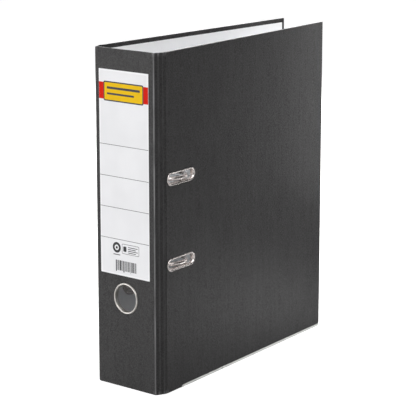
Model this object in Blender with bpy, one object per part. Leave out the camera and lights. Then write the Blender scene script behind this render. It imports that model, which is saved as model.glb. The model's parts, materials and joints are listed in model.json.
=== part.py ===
"""A lever arch file: a paper-clad board case with an 80 mm spine, standing upright, and its filing mechanism.

Metres, +Z up. The spine faces -Y, the front cover is on the +X side and the back cover, which carries the
mechanism, on the -X side. The origin is at the middle of the case, on the surface it stands on.
"""

import math

import bmesh
import bpy
from mathutils import Matrix, Vector

# The case, outside
CASE_HEIGHT = 0.318
STANDING_GAP = 0.0008  # the boards end this far above the metal rails that the case stands on
SPINE_WIDTH = 0.0710  # between the creases of the spine
SPINE_Y = -0.1419  # the spine's outer face
STRIP_WIDTH = 0.0112  # the flexible strip between the spine and a cover
STRIP_TURN = math.radians(66.4)  # how far a strip turns back from the spine's plane
COVER_LENGTH = 0.27464
FRONT_LEAN = math.radians(5.8)  # the front cover rests this far inwards
BOARD = 0.0022
STRIP_BOARD = 0.0012
BOARD_EDGE = 0.0005  # rounding of the clad edges
CREASE_SLACK = 0.0002
CLEARANCE = 0.0003  # between pieces that touch
LINING = 0.00025
LINING_INSET = 0.0040

# What is let into the spine and the front cover
LABEL_SIZE = (0.0601, 0.1905)
LABEL_LEFT = 0.0047  # from the spine's back-side crease
LABEL_DROP = 0.0193  # from the top of the spine
RING_X = -0.0003
RING_Z = 0.0870
RING_RADIUS = 0.0147
RING_HOLE = 0.0127
SLOT_FROM_CREASE = 0.0239  # to the middle of a slot
SLOT_SIZE = (0.0438, 0.0123)  # over the eyelet's rim
SLOT_CLEAR = (0.0395, 0.0080)
SLOT_RAISE = 0.0016  # the slots sit this far above the arches that show in them
ARCH_FROM_CREASE = 0.0256  # to the middle of an arch
ARCH_SPACING = 0.080
MIDDLE_Z = 0.1601  # halfway between the two arches
RIM_PROUD = 0.0008
SHEET = 0.0004  # thickness of the eyelets' and rails' metal
RAIL_START = 0.0250  # from the crease
RAIL_FLANGE = 0.0026
RAIL_SHORT = 0.0008  # the rail stops this far before the fore edge

# The mechanism, on the inside of the back cover
PLATE = 0.0010
PLATE_HALF = 0.0856  # from the middle to the end of a tongue
PLATE_BODY_HALF = 0.0540  # from the middle to the end of the plate's wide body
PLATE_SHOULDER = 0.0120
PLATE_TONGUE = 0.0307  # width of the tongue at each end
PLATE_MARGIN = (0.0058, 0.0095)  # past the arches' axis, and past the posts
TONGUE_ROUND = 0.0130
BODY_ROUND = 0.0060
EAR = 0.0012
WIRE_RADIUS = 0.0020
ARCH_RADIUS = 0.0205  # half the distance from an arch's root to its post
ARCH_BEND = 0.0040
CRANK_BEND = 0.0030
CRANK_OFFSET = 0.0180
CRANK_TOP = 0.0200  # above the middle
CRANK_BOTTOM = -0.0200
POST_RADIUS = 0.00225
POST_FOOT_RADIUS = 0.0048
POST_FOOT = 0.0018
APEX_SUNK = 0.0002  # the arches end this far inside the front cover's outer face
LEVER_Z = 0.0270  # the lever's pin above the middle
LEVER_LENGTH = 0.0610
LEVER_WIDTH = 0.0120
LEVER_SHEET = 0.0012
LEVER_TOP = 0.0042  # the lever's back above its pin
ROLLER_RADIUS = 0.0035
ROLLER_ARM = 0.0100
ROLLER_DROP = math.radians(25)
ROLLER_WIDTH = 0.0088
LEVER_PIN = 0.0020
ROLLER_PIN = 0.0012
PIN_PLAY = 0.00015
COMPRESSOR_LIFT = 0.0040  # bar's lips above the base plate at rest
COMPRESSOR_SIZE = (0.0150, 0.1040)
COMPRESSOR_SHEET = 0.0010
COMPRESSOR_LIP = 0.0034

ROUND_STEPS = 32

HALF_SPINE = SPINE_WIDTH / 2
STRIP_REACH = STRIP_WIDTH * math.cos(STRIP_TURN)
STRIP_RISE = STRIP_WIDTH * math.sin(STRIP_TURN)
HALF_CASE = HALF_SPINE + STRIP_REACH
COVER_Y = SPINE_Y + STRIP_RISE
BACK_INNER_X = -HALF_CASE + BOARD
LINING_TOP_X = BACK_INNER_X + CLEARANCE / 2 + LINING
PLATE_X = LINING_TOP_X + CLEARANCE  # underside of the base plate
PLATE_TOP_X = PLATE_X + PLATE
APEX_Y = COVER_Y + ARCH_FROM_CREASE * math.cos(FRONT_LEAN)
APEX_X = HALF_CASE - ARCH_FROM_CREASE * math.sin(FRONT_LEAN)
ARCH_X = PLATE_TOP_X + WIRE_RADIUS + 0.0008  # the axis the arches turn about
ARCH_Y = APEX_Y - ARCH_RADIUS
POST_Y = APEX_Y + ARCH_RADIUS
ARCH_TOP_X = APEX_X - APEX_SUNK - WIRE_RADIUS - ARCH_RADIUS  # where the half circles begin
LEVER_Y = ARCH_Y + CRANK_OFFSET
LEVER_PIN_Z = MIDDLE_Z + LEVER_Z
ROLLER_S = ROLLER_ARM * math.cos(ROLLER_DROP)
ROLLER_H = -ROLLER_ARM * math.sin(ROLLER_DROP)
LEVER_PIN_X = ARCH_X + WIRE_RADIUS + CLEARANCE + ROLLER_RADIUS - ROLLER_H
PLATE_SPINE_Y = ARCH_Y - PLATE_MARGIN[0]
PLATE_FORE_Y = POST_Y + PLATE_MARGIN[1]
TONGUE_Y = PLATE_FORE_Y - PLATE_TONGUE


def clear_scene():
    for obj in list(bpy.data.objects):
        bpy.data.objects.remove(obj, do_unlink=True)


def material(name, color, roughness, metallic=0.0):
    made = bpy.data.materials.new(name)
    made.use_nodes = True
    shader = made.node_tree.nodes["Principled BSDF"]
    shader.inputs["Base Color"].default_value = (*color, 1.0)
    shader.inputs["Roughness"].default_value = roughness
    shader.inputs["Metallic"].default_value = metallic
    return made


def finish_mesh(name, work, look=None, place=None):
    """Turns a bmesh into an object, optionally moved by a matrix."""
    if place is not None:
        bmesh.ops.transform(work, matrix=place, verts=work.verts)
    bmesh.ops.recalc_face_normals(work, faces=work.faces)
    mesh = bpy.data.meshes.new(name)
    work.to_mesh(mesh)
    work.free()
    obj = bpy.data.objects.new(name, mesh)
    bpy.context.scene.collection.objects.link(obj)
    if look is not None:
        obj.data.materials.append(look)
    return obj


def smooth(obj, degrees=35):
    obj.data.shade_smooth()
    obj.data.set_sharp_from_angle(angle=math.radians(degrees))


def add_box(work, low, high):
    size = Vector(high) - Vector(low)
    middle = (Vector(high) + Vector(low)) / 2
    place = Matrix.Translation(middle) @ Matrix.Diagonal((*size, 1.0))
    bmesh.ops.create_cube(work, size=1.0, matrix=place)


def box(name, low, high, look=None, place=None):
    work = bmesh.new()
    add_box(work, low, high)
    return finish_mesh(name, work, look, place)


def prism(name, outline, span, look=None, place=None, axis="Z"):
    """Extrudes a closed outline of two coordinates over span, along one axis of its own frame."""
    low, high = span
    lift = {
        "X": lambda a, b, t: (t, a, b),
        "Y": lambda a, b, t: (a, t, b),
        "Z": lambda a, b, t: (a, b, t),
    }[axis]
    work = bmesh.new()
    base = [work.verts.new(lift(a, b, low)) for a, b in outline]
    top = [work.verts.new(lift(a, b, high)) for a, b in outline]
    work.faces.new(base)
    work.faces.new(top)
    count = len(outline)
    for i in range(count):
        j = (i + 1) % count
        work.faces.new((base[i], base[j], top[j], top[i]))
    return finish_mesh(name, work, look, place)


def arc(center, radius, start, end, steps):
    """Points on an arc, angles in degrees, both ends included."""
    points = []
    for i in range(steps + 1):
        angle = math.radians(start + (end - start) * i / steps)
        points.append((center[0] + radius * math.cos(angle), center[1] + radius * math.sin(angle)))
    return points


def rounded_outline(low, high, radius, steps=4):
    corners = [
        ((high[0] - radius, high[1] - radius), 0),
        ((low[0] + radius, high[1] - radius), 90),
        ((low[0] + radius, low[1] + radius), 180),
        ((high[0] - radius, low[1] + radius), 270),
    ]
    points = []
    for center, start in corners:
        points += arc(center, radius, start, start + 90, steps)
    return points


def stadium(length, height, steps=ROUND_STEPS // 2):
    """Outline of an oblong with half-round ends, longer along its first coordinate."""
    radius = height / 2
    reach = length / 2 - radius
    return arc((reach, 0), radius, -90, 90, steps) + arc((-reach, 0), radius, 90, 270, steps)


def sweep_ring(name, path, profile, look, place):
    """Sweeps a closed profile round a closed convex path in the XY plane.

    A profile point is (distance out from the path, height above the plane).
    """
    work = bmesh.new()
    count = len(path)
    rings = []
    for i in range(count):
        before = Vector(path[i - 1])
        here = Vector(path[i])
        after = Vector(path[(i + 1) % count])
        along = ((here - before).normalized() + (after - here).normalized()).normalized()
        out = Vector((along.y, -along.x))
        ring = []
        for distance, height in profile:
            point = here + out * distance
            ring.append(work.verts.new((point.x, point.y, height)))
        rings.append(ring)
    for i in range(count):
        ring, after = rings[i], rings[(i + 1) % count]
        for k in range(len(profile)):
            m = (k + 1) % len(profile)
            work.faces.new((ring[k], after[k], after[m], ring[m]))
    made = finish_mesh(name, work, look, place)
    smooth(made)
    return made


def circle_path(radius, steps=ROUND_STEPS):
    return arc((0, 0), radius, 0, 360, steps)[:-1]


def stadium_path(length, height):
    """The same outline as stadium, with no point given twice."""
    return stadium(length, height)


def tube(name, start, end, radius, look=None, hole=0.0, steps=ROUND_STEPS):
    """A round bar or a tube from start to end."""
    start, end = Vector(start), Vector(end)
    length = (end - start).length
    turn = (end - start).to_track_quat("Z", "Y").to_matrix().to_4x4()
    place = Matrix.Translation(start) @ turn
    if hole:
        profile = [(0, 0), (radius - hole, 0), (radius - hole, length), (0, length)]
        return sweep_ring(name, circle_path(hole, steps), profile, look, place)
    made = prism(name, circle_path(radius, steps), (0, length), look, place)
    smooth(made)
    return made


def turned(name, profile, look, place, steps=ROUND_STEPS):
    """A solid turned about Z from (radius, height) points that begin and end on the axis."""
    work = bmesh.new()
    rings = []
    for radius, height in profile[1:-1]:
        rings.append([work.verts.new((x, y, height)) for x, y in circle_path(radius, steps)])
    foot = work.verts.new((0, 0, profile[0][1]))
    crown = work.verts.new((0, 0, profile[-1][1]))
    for i in range(steps):
        j = (i + 1) % steps
        work.faces.new((foot, rings[0][j], rings[0][i]))
        work.faces.new((crown, rings[-1][i], rings[-1][j]))
        for low, high in zip(rings, rings[1:]):
            work.faces.new((low[i], low[j], high[j], high[i]))
    made = finish_mesh(name, work, look, place)
    smooth(made)
    return made


def hide_helper(obj):
    obj.hide_render = True
    obj.display_type = "WIRE"
    return obj


def boolean(obj, helper, operation):
    change = obj.modifiers.new(operation.lower() + "_" + helper.name, "BOOLEAN")
    change.operation = operation
    change.object = hide_helper(helper)
    return obj


def merge_helpers(name, helpers):
    """Joins helpers that don't touch into one cutter."""
    work = bmesh.new()
    for helper in helpers:
        work.from_mesh(helper.data)
        bpy.data.objects.remove(helper, do_unlink=True)
    return finish_mesh(name, work)


def round_edges(obj, width=BOARD_EDGE, segments=2):
    change = obj.modifiers.new("rounded_edges", "BEVEL")
    change.width = width
    change.segments = segments
    change.limit_method = "ANGLE"
    change.angle_limit = math.radians(60)
    smooth(obj, 40)
    return obj


def crease_gap(thickness, turn):
    """How far a board stops short of a crease so that it clears its neighbour when the case is closed."""
    return thickness * math.tan(turn / 2) + CREASE_SLACK


def frame_at(x, y, turn):
    return Matrix.Translation((x, y, 0)) @ Matrix.Rotation(turn, 4, "Z")


# Each panel's own frame: Y runs along the panel away from the spine and X across its thickness.
FRONT_STRIP_FRAME = frame_at(HALF_SPINE, SPINE_Y, STRIP_TURN - math.pi / 2)
FRONT_FRAME = frame_at(HALF_CASE, COVER_Y, FRONT_LEAN)
BACK_STRIP_FRAME = frame_at(-HALF_SPINE, SPINE_Y, math.pi / 2 - STRIP_TURN)
BACK_FRAME = frame_at(-HALF_CASE, COVER_Y, 0)
FRONT_TURN = math.pi / 2 + FRONT_LEAN - STRIP_TURN
BACK_TURN = math.pi / 2 - STRIP_TURN


def across(side, low, high):
    """Sorted X limits at depths low and high behind a panel's outer face."""
    return sorted((side * low, side * high))


def cover_board(name, side, turn, frame, look):
    """A cover's board, thinned at its lower edge where the metal rail wraps it."""
    start = crease_gap(BOARD, turn)
    x0, x1 = across(side, 0, BOARD)
    board = box(
        name,
        (x0, start, STANDING_GAP),
        (x1, COVER_LENGTH, CASE_HEIGHT),
        look,
        frame,
    )
    recess = SHEET + CLEARANCE
    rail_end = RAIL_START - CLEARANCE
    band = RAIL_FLANGE + CLEARANCE
    far = COVER_LENGTH + 0.005
    for number, depth in enumerate((-0.005, BOARD - recess)):
        low, high = across(side, depth, depth + 0.005 + recess)
        helper = box(
            name + "_recess_" + str(number),
            (low, rail_end, -0.005),
            (high, far, band),
            None,
            frame,
        )
        boolean(board, helper, "DIFFERENCE")
    return board


def edge_rail(name, side, frame, look):
    """A channel of sheet metal folded round the lower edge of a cover."""
    outside = across(side, 0, BOARD)
    profile = [
        (outside[0], 0),
        (outside[1], 0),
        (outside[1], RAIL_FLANGE),
        (outside[1] - SHEET, RAIL_FLANGE),
        (outside[1] - SHEET, SHEET),
        (outside[0] + SHEET, SHEET),
        (outside[0] + SHEET, RAIL_FLANGE),
        (outside[0], RAIL_FLANGE),
    ]
    return prism(name, profile, (RAIL_START, COVER_LENGTH - RAIL_SHORT), look, frame, "Y")


def lining_sheet(name, side, frame, look):
    depth = BOARD + CLEARANCE / 2
    x0, x1 = across(side, depth, depth + LINING)
    return box(
        name,
        (x0, LINING_INSET, LINING_INSET + 0.002),
        (x1, COVER_LENGTH - LINING_INSET, CASE_HEIGHT - LINING_INSET),
        look,
        frame,
    )


def hinge_strip(name, side, outer_turn, frame, look):
    x0, x1 = across(side, 0, STRIP_BOARD)
    low = crease_gap(STRIP_BOARD, STRIP_TURN)
    high = STRIP_WIDTH - crease_gap(STRIP_BOARD, outer_turn)
    made = box(name, (x0, low, STANDING_GAP), (x1, high, CASE_HEIGHT), look, frame)
    return round_edges(made, 0.0003)


def eyelet_profile(wall, rim, board_and_lining):
    """Section of a rolled eyelet: outer rim, wall through the board, and a flange turned over inside."""
    under = CLEARANCE
    inside = board_and_lining + CLEARANCE
    return [
        (0, RIM_PROUD * 0.6),
        (rim * 0.35, RIM_PROUD),
        (rim * 0.75, RIM_PROUD * 0.9),
        (rim, RIM_PROUD * 0.45),
        (rim, under * 0.7),
        (wall, under * 0.7),
        (wall, -inside),
        (rim * 0.7, -inside),
        (rim * 0.7, -inside - SHEET),
        (0, -inside - SHEET),
    ]


def spine_pieces(looks):
    gap = crease_gap(BOARD, STRIP_TURN)
    edge = HALF_SPINE - gap
    board = box(
        "spine_board",
        (-edge, SPINE_Y, STANDING_GAP),
        (edge, SPINE_Y + BOARD, CASE_HEIGHT),
        looks["cladding"],
    )
    round_edges(board)
    lining = box(
        "spine_lining",
        (-HALF_SPINE + LINING_INSET, SPINE_Y + BOARD + CLEARANCE / 2, LINING_INSET + 0.002),
        (
            HALF_SPINE - LINING_INSET,
            SPINE_Y + BOARD + CLEARANCE / 2 + LINING,
            CASE_HEIGHT - LINING_INSET,
        ),
        looks["lining"],
    )
    hole = RING_HOLE + SHEET + CLEARANCE
    for target in (board, lining):
        cutter = tube(
            target.name + "_hole",
            (RING_X, SPINE_Y - 0.004, RING_Z),
            (RING_X, SPINE_Y + 0.008, RING_Z),
            hole,
            steps=48,
        )
        boolean(target, cutter, "DIFFERENCE")
    left = -HALF_SPINE + LABEL_LEFT
    top = CASE_HEIGHT - LABEL_DROP
    label = box(
        "spine_label",
        (left, SPINE_Y - CLEARANCE / 2 - LINING, top - LABEL_SIZE[1]),
        (left + LABEL_SIZE[0], SPINE_Y - CLEARANCE / 2, top),
        looks["label"],
    )
    facing = Matrix.Translation((RING_X, SPINE_Y, RING_Z)) @ Matrix.Rotation(math.pi / 2, 4, "X")
    profile = eyelet_profile(SHEET, RING_RADIUS - RING_HOLE, BOARD + CLEARANCE / 2 + LINING)
    ring = sweep_ring("finger_ring", circle_path(RING_HOLE, 48), profile, looks["nickel"], facing)
    return [board, lining, label, ring]


def slot_cutter(name, height):
    """An oblong hole through the front cover, with room for the eyelet's wall."""
    spare = 2 * (SHEET + CLEARANCE)
    outline = stadium(SLOT_CLEAR[0] + spare, SLOT_CLEAR[1] + spare)
    shifted = [(a + SLOT_FROM_CREASE, b + height) for a, b in outline]
    return prism(name, shifted, (-0.008, 0.006), None, FRONT_FRAME, "X")


def front_cover_pieces(looks):
    board = cover_board("front_cover_board", -1, FRONT_TURN, FRONT_FRAME, looks["cladding"])
    lining = lining_sheet("front_cover_lining", -1, FRONT_FRAME, looks["lining"])
    heights = {
        "upper": MIDDLE_Z + ARCH_SPACING / 2 + SLOT_RAISE,
        "lower": MIDDLE_Z - ARCH_SPACING / 2 + SLOT_RAISE,
    }
    for target in (board, lining):
        for label, height in heights.items():
            cutter = slot_cutter(target.name + "_" + label + "_slot", height)
            boolean(target, cutter, "DIFFERENCE")
    round_edges(board)
    made = [board, lining, edge_rail("front_edge_rail", -1, FRONT_FRAME, looks["rail"])]
    rim = (SLOT_SIZE[1] - SLOT_CLEAR[1]) / 2
    profile = eyelet_profile(SHEET, rim, BOARD + CLEARANCE / 2 + LINING)
    path = stadium_path(*SLOT_CLEAR)
    for label, height in heights.items():
        # The eyelet's own X runs along the cover and its Z points out of it.
        facing = (
            FRONT_FRAME
            @ Matrix.Translation((0, SLOT_FROM_CREASE, height))
            @ Matrix.Rotation(math.pi / 2, 4, "Y")
            @ Matrix.Rotation(math.pi / 2, 4, "Z")
        )
        made.append(sweep_ring(label + "_slot_eyelet", path, profile, looks["nickel"], facing))
    return made


def rivet_places():
    """One rivet in each tongue and one in each spine-side corner of the plate's body."""
    tongue = ((TONGUE_Y + PLATE_FORE_Y) / 2, PLATE_HALF - 0.0105)
    corner = (PLATE_SPINE_Y + 0.0080, PLATE_BODY_HALF - 0.0050)
    return [(y, MIDDLE_Z + side * z) for side in (1, -1) for y, z in (tongue, corner)]


def rivet_holes(name):
    helpers = [
        tube("hole", (-HALF_CASE - 0.004, y, z), (PLATE_TOP_X + 0.004, y, z), 0.0023, steps=16)
        for y, z in rivet_places()
    ]
    return merge_helpers(name, helpers)


def back_cover_pieces(looks):
    board = cover_board("back_cover_board", 1, BACK_TURN, BACK_FRAME, looks["cladding"])
    lining = lining_sheet("back_cover_lining", 1, BACK_FRAME, looks["lining"])
    for target in (board, lining):
        boolean(target, rivet_holes(target.name + "_rivet_holes"), "DIFFERENCE")
    round_edges(board)
    return [board, lining, edge_rail("back_edge_rail", 1, BACK_FRAME, looks["rail"])]


def ear_outline(center_x, half_width, crown):
    """Side view of an upright ear: straight sides and a rounded top, standing in the base plate."""
    foot = PLATE_X + PLATE * 0.3
    return [(foot, -half_width)] + arc((center_x, 0), crown, -90, 90, 8) + [(foot, half_width)]


def plate_outline():
    """The base plate seen from above: a wide body with a round-ended tongue at each end."""
    upper = [
        (PLATE_FORE_Y, PLATE_HALF, TONGUE_ROUND),
        (TONGUE_Y, PLATE_HALF, TONGUE_ROUND),
        (TONGUE_Y, PLATE_BODY_HALF + PLATE_SHOULDER, BODY_ROUND),
        (PLATE_SPINE_Y, PLATE_BODY_HALF, BODY_ROUND),
    ]
    lower = [(y, -z, radius) for y, z, radius in reversed(upper)]
    corners = upper + lower
    places = [Vector((y, MIDDLE_Z + z)) for y, z, _ in corners]
    points = []
    for i, (_, _, radius) in enumerate(corners):
        after = places[(i + 1) % len(places)]
        points += bend(places[i], places[i - 1], after, radius, 6)
    return [tuple(point) for point in points]


def base_plate(looks):
    span = (PLATE_X, PLATE_TOP_X)
    plate = prism("base_plate", plate_outline(), span, looks["nickel"], None, "X")
    ears = []
    for z in (MIDDLE_Z + ARCH_SPACING / 2 - 0.0103, MIDDLE_Z - ARCH_SPACING / 2 + 0.0103):
        outline = [(x, ARCH_Y + y) for x, y in ear_outline(ARCH_X, 0.0044, 0.0044)]
        ears.append(prism("bearing_ear", outline, (z - EAR / 2, z + EAR / 2)))
    for side in (1, -1):
        y = LEVER_Y + side * (LEVER_WIDTH / 2 + 0.0012 + EAR / 2)
        outline = [(x, LEVER_PIN_Z + z) for x, z in ear_outline(LEVER_PIN_X, 0.0040, 0.0040)]
        ears.append(prism("lever_ear", outline, (y - EAR / 2, y + EAR / 2), None, None, "Y"))
    boolean(plate, merge_helpers("base_plate_ears", ears), "UNION")
    z_low, z_high = MIDDLE_Z - ARCH_SPACING / 2, MIDDLE_Z + ARCH_SPACING / 2
    bores = [
        tube(
            "bearing_bore",
            (ARCH_X, ARCH_Y, z_low),
            (ARCH_X, ARCH_Y, z_high),
            WIRE_RADIUS + PIN_PLAY,
            steps=20,
        ),
        tube(
            "lever_bore",
            (LEVER_PIN_X, LEVER_Y - 0.015, LEVER_PIN_Z),
            (LEVER_PIN_X, LEVER_Y + 0.015, LEVER_PIN_Z),
            LEVER_PIN + PIN_PLAY,
            steps=20,
        ),
    ]
    boolean(plate, merge_helpers("base_plate_bores", bores), "DIFFERENCE")
    boolean(plate, rivet_holes("base_plate_rivet_holes"), "DIFFERENCE")
    return plate


def rivets(looks):
    made = []
    outer = -HALF_CASE - CLEARANCE / 2
    inner = PLATE_TOP_X + CLEARANCE / 2
    length = inner - outer
    profile = [
        (0, -0.0009),
        (0.0024, -0.0007),
        (0.0038, -0.0002),
        (0.0040, 0),
        (0.0020, 0),
        (0.0020, length),
        (0.0034, length),
        (0.0031, length + 0.0006),
        (0.0018, length + 0.0010),
        (0, length + 0.0011),
    ]
    for number, (y, z) in enumerate(rivet_places(), 1):
        place = Matrix.Translation((outer, y, z)) @ Matrix.Rotation(math.pi / 2, 4, "Y")
        made.append(turned("plate_rivet_" + str(number), profile, looks["nickel"], place, 16))
    return made


def posts(looks):
    made = []
    base = PLATE_TOP_X + CLEARANCE / 2
    length = ARCH_TOP_X - CLEARANCE - base
    profile = [
        (0, 0),
        (POST_FOOT_RADIUS, 0),
        (POST_FOOT_RADIUS, POST_FOOT * 0.6),
        (POST_RADIUS, POST_FOOT),
        (POST_RADIUS, length - 0.0004),
        (POST_RADIUS - 0.0003, length),
        (0, length),
    ]
    for label, side in (("upper", 1), ("lower", -1)):
        z = MIDDLE_Z + side * ARCH_SPACING / 2
        place = Matrix.Translation((base, POST_Y, z)) @ Matrix.Rotation(math.pi / 2, 4, "Y")
        made.append(turned(label + "_post", profile, looks["nickel"], place, 20))
    return made


def bend(corner, before, after, radius, steps=5):
    """Points that turn a wire's corner on an arc."""
    corner, before, after = Vector(corner), Vector(before), Vector(after)
    way_in = (corner - before).normalized()
    way_out = (after - corner).normalized()
    half = way_in.angle(way_out) / 2
    start = corner - way_in * radius * math.tan(half)
    center = start + (way_out - way_in * way_in.dot(way_out)).normalized() * radius
    spoke = start - center
    points = []
    for i in range(steps + 1):
        angle = 2 * half * i / steps
        points.append(center + spoke * math.cos(angle) + way_in * radius * math.sin(angle))
    return points


def arch_wire_points():
    """Centre line of the one-piece wire: tip, arch, root, pivot, crank, pivot, root, arch, tip."""
    top, bottom = MIDDLE_Z + ARCH_SPACING / 2, MIDDLE_Z - ARCH_SPACING / 2
    crank_top, crank_bottom = MIDDLE_Z + CRANK_TOP, MIDDLE_Z + CRANK_BOTTOM
    half_circle = arc((ARCH_TOP_X, APEX_Y), ARCH_RADIUS, 90, -90, 20)
    upper_arch = [Vector((x, y, top)) for x, y in half_circle]
    lower_arch = [Vector((x, y, bottom)) for x, y in reversed(half_circle)]
    corners = [
        ((ARCH_X, ARCH_Y, top), ARCH_BEND),
        ((ARCH_X, ARCH_Y, crank_top), CRANK_BEND),
        ((ARCH_X, ARCH_Y + CRANK_OFFSET, crank_top), CRANK_BEND),
        ((ARCH_X, ARCH_Y + CRANK_OFFSET, crank_bottom), CRANK_BEND),
        ((ARCH_X, ARCH_Y, crank_bottom), CRANK_BEND),
        ((ARCH_X, ARCH_Y, bottom), ARCH_BEND),
    ]
    route = [upper_arch[-1]] + [Vector(place) for place, _ in corners] + [lower_arch[0]]
    points = list(upper_arch)
    for i, (_, radius) in enumerate(corners, 1):
        points += bend(route[i], route[i - 1], route[i + 1], radius)
    return points + lower_arch


def arch_wire(looks):
    points = arch_wire_points()
    shape = bpy.data.curves.new("arch_wire", "CURVE")
    shape.dimensions = "3D"
    shape.bevel_depth = WIRE_RADIUS
    shape.bevel_resolution = 3
    shape.use_fill_caps = True
    line = shape.splines.new("POLY")
    line.points.add(len(points) - 1)
    for point, place in zip(line.points, points):
        point.co = (*place, 1.0)
    shape.materials.append(looks["nickel"])
    made = bpy.data.objects.new("arch_wire", shape)
    bpy.context.scene.collection.objects.link(made)
    return made


def lever_frame():
    """X up from the base plate, Y across, Z from the pin back towards the lever's heel."""
    return Matrix.Translation((LEVER_PIN_X, LEVER_Y, LEVER_PIN_Z))


def lever_outline():
    """Side view (height, distance) with the pin at the origin and the handle towards -Z."""
    heel = arc((0, 0), LEVER_TOP, 0, 160, 8)
    lobe = arc((ROLLER_H, -ROLLER_S), 0.0027, 140, 290, 6)
    handle = [(-0.0010, -0.0200), (-0.0008, -LEVER_LENGTH + 0.002)]
    tip = [(0.0002, -LEVER_LENGTH), (LEVER_TOP, -LEVER_LENGTH)]
    return heel + lobe + handle + tip


def lever_arm(looks):
    place = lever_frame()
    half = LEVER_WIDTH / 2
    arm = prism("lever_arm", lever_outline(), (-half, half), looks["nickel"], place, "Y")
    inner = half - LEVER_SHEET
    cutters = [
        box(
            "lever_channel",
            (-0.015, -inner, -LEVER_LENGTH + LEVER_SHEET),
            (LEVER_TOP - LEVER_SHEET, inner, 0.010),
            None,
            place,
        ),
        tube(
            "lever_arm_bore",
            (LEVER_PIN_X, LEVER_Y - 0.010, LEVER_PIN_Z),
            (LEVER_PIN_X, LEVER_Y + 0.010, LEVER_PIN_Z),
            LEVER_PIN + PIN_PLAY,
            steps=20,
        ),
    ]
    roller_x, roller_z = LEVER_PIN_X + ROLLER_H, LEVER_PIN_Z - ROLLER_S
    cutters.append(
        tube(
            "roller_pin_bore",
            (roller_x, LEVER_Y - 0.010, roller_z),
            (roller_x, LEVER_Y + 0.010, roller_z),
            ROLLER_PIN + PIN_PLAY,
            steps=16,
        )
    )
    for cutter in cutters:
        boolean(arm, cutter, "DIFFERENCE")
    return arm


def lever_grip(looks):
    """A moulded cap pushed over the end of the lever."""
    place = lever_frame()
    low, high = (-0.0026, -0.0076), (LEVER_TOP + 0.0018, 0.0076)
    start, end = -LEVER_LENGTH - 0.0020, -LEVER_LENGTH + 0.0240
    grip = prism(
        "lever_grip",
        rounded_outline(low, high, 0.0020),
        (start, end),
        looks["plastic"],
        place,
    )
    spare = CLEARANCE
    half = LEVER_WIDTH / 2 + spare
    pocket = box(
        "lever_grip_pocket",
        (-0.0010 - spare, -half, -LEVER_LENGTH - spare),
        (LEVER_TOP + spare, half, end + 0.002),
        None,
        place,
    )
    boolean(grip, pocket, "DIFFERENCE")
    return round_edges(grip, 0.0006)


def lever_pins(looks):
    """The lever's own pin, headed at both ends, and the thin pin that the roller turns on."""
    reach = LEVER_WIDTH / 2 + 0.0012 + EAR + CLEARANCE
    profile = [
        (0, -reach - 0.0010),
        (0.0030, -reach - 0.0010),
        (0.0030, -reach),
        (LEVER_PIN, -reach),
        (LEVER_PIN, reach),
        (0.0030, reach),
        (0.0030, reach + 0.0010),
        (0, reach + 0.0010),
    ]
    across_lever = Matrix.Rotation(math.pi / 2, 4, "X")
    pin = turned("lever_pin", profile, looks["nickel"], lever_frame() @ across_lever, 20)
    half = LEVER_WIDTH / 2 + 0.0006
    x, z = LEVER_PIN_X + ROLLER_H, LEVER_PIN_Z - ROLLER_S
    roller_pin = tube(
        "roller_pin",
        (x, LEVER_Y - half, z),
        (x, LEVER_Y + half, z),
        ROLLER_PIN,
        looks["nickel"],
        steps=16,
    )
    return pin, roller_pin


def lever_roller(looks):
    x, z = LEVER_PIN_X + ROLLER_H, LEVER_PIN_Z - ROLLER_S
    half = ROLLER_WIDTH / 2
    return tube(
        "lever_roller",
        (x, LEVER_Y - half, z),
        (x, LEVER_Y + half, z),
        ROLLER_RADIUS,
        looks["plastic"],
        ROLLER_PIN + PIN_PLAY,
        24,
    )


def lever_spring(looks):
    """A leaf that lies on the base plate and rises to bear on the lever's rounded heel."""
    foot = PLATE_TOP_X + CLEARANCE / 2
    heel = LEVER_PIN_X - LEVER_TOP - CLEARANCE
    leaf = 0.0005
    line = [
        (foot, LEVER_PIN_Z + 0.0250),
        (foot, LEVER_PIN_Z + 0.0140),
        (heel - leaf - 0.0006, LEVER_PIN_Z + 0.0020),
        (heel - leaf - 0.0004, LEVER_PIN_Z - 0.0020),
    ]
    outline = line + [(x + leaf, z) for x, z in reversed(line)]
    return prism(
        "lever_spring",
        outline,
        (LEVER_Y - 0.0035, LEVER_Y + 0.0035),
        looks["spring"],
        None,
        "Y",
    )


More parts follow.
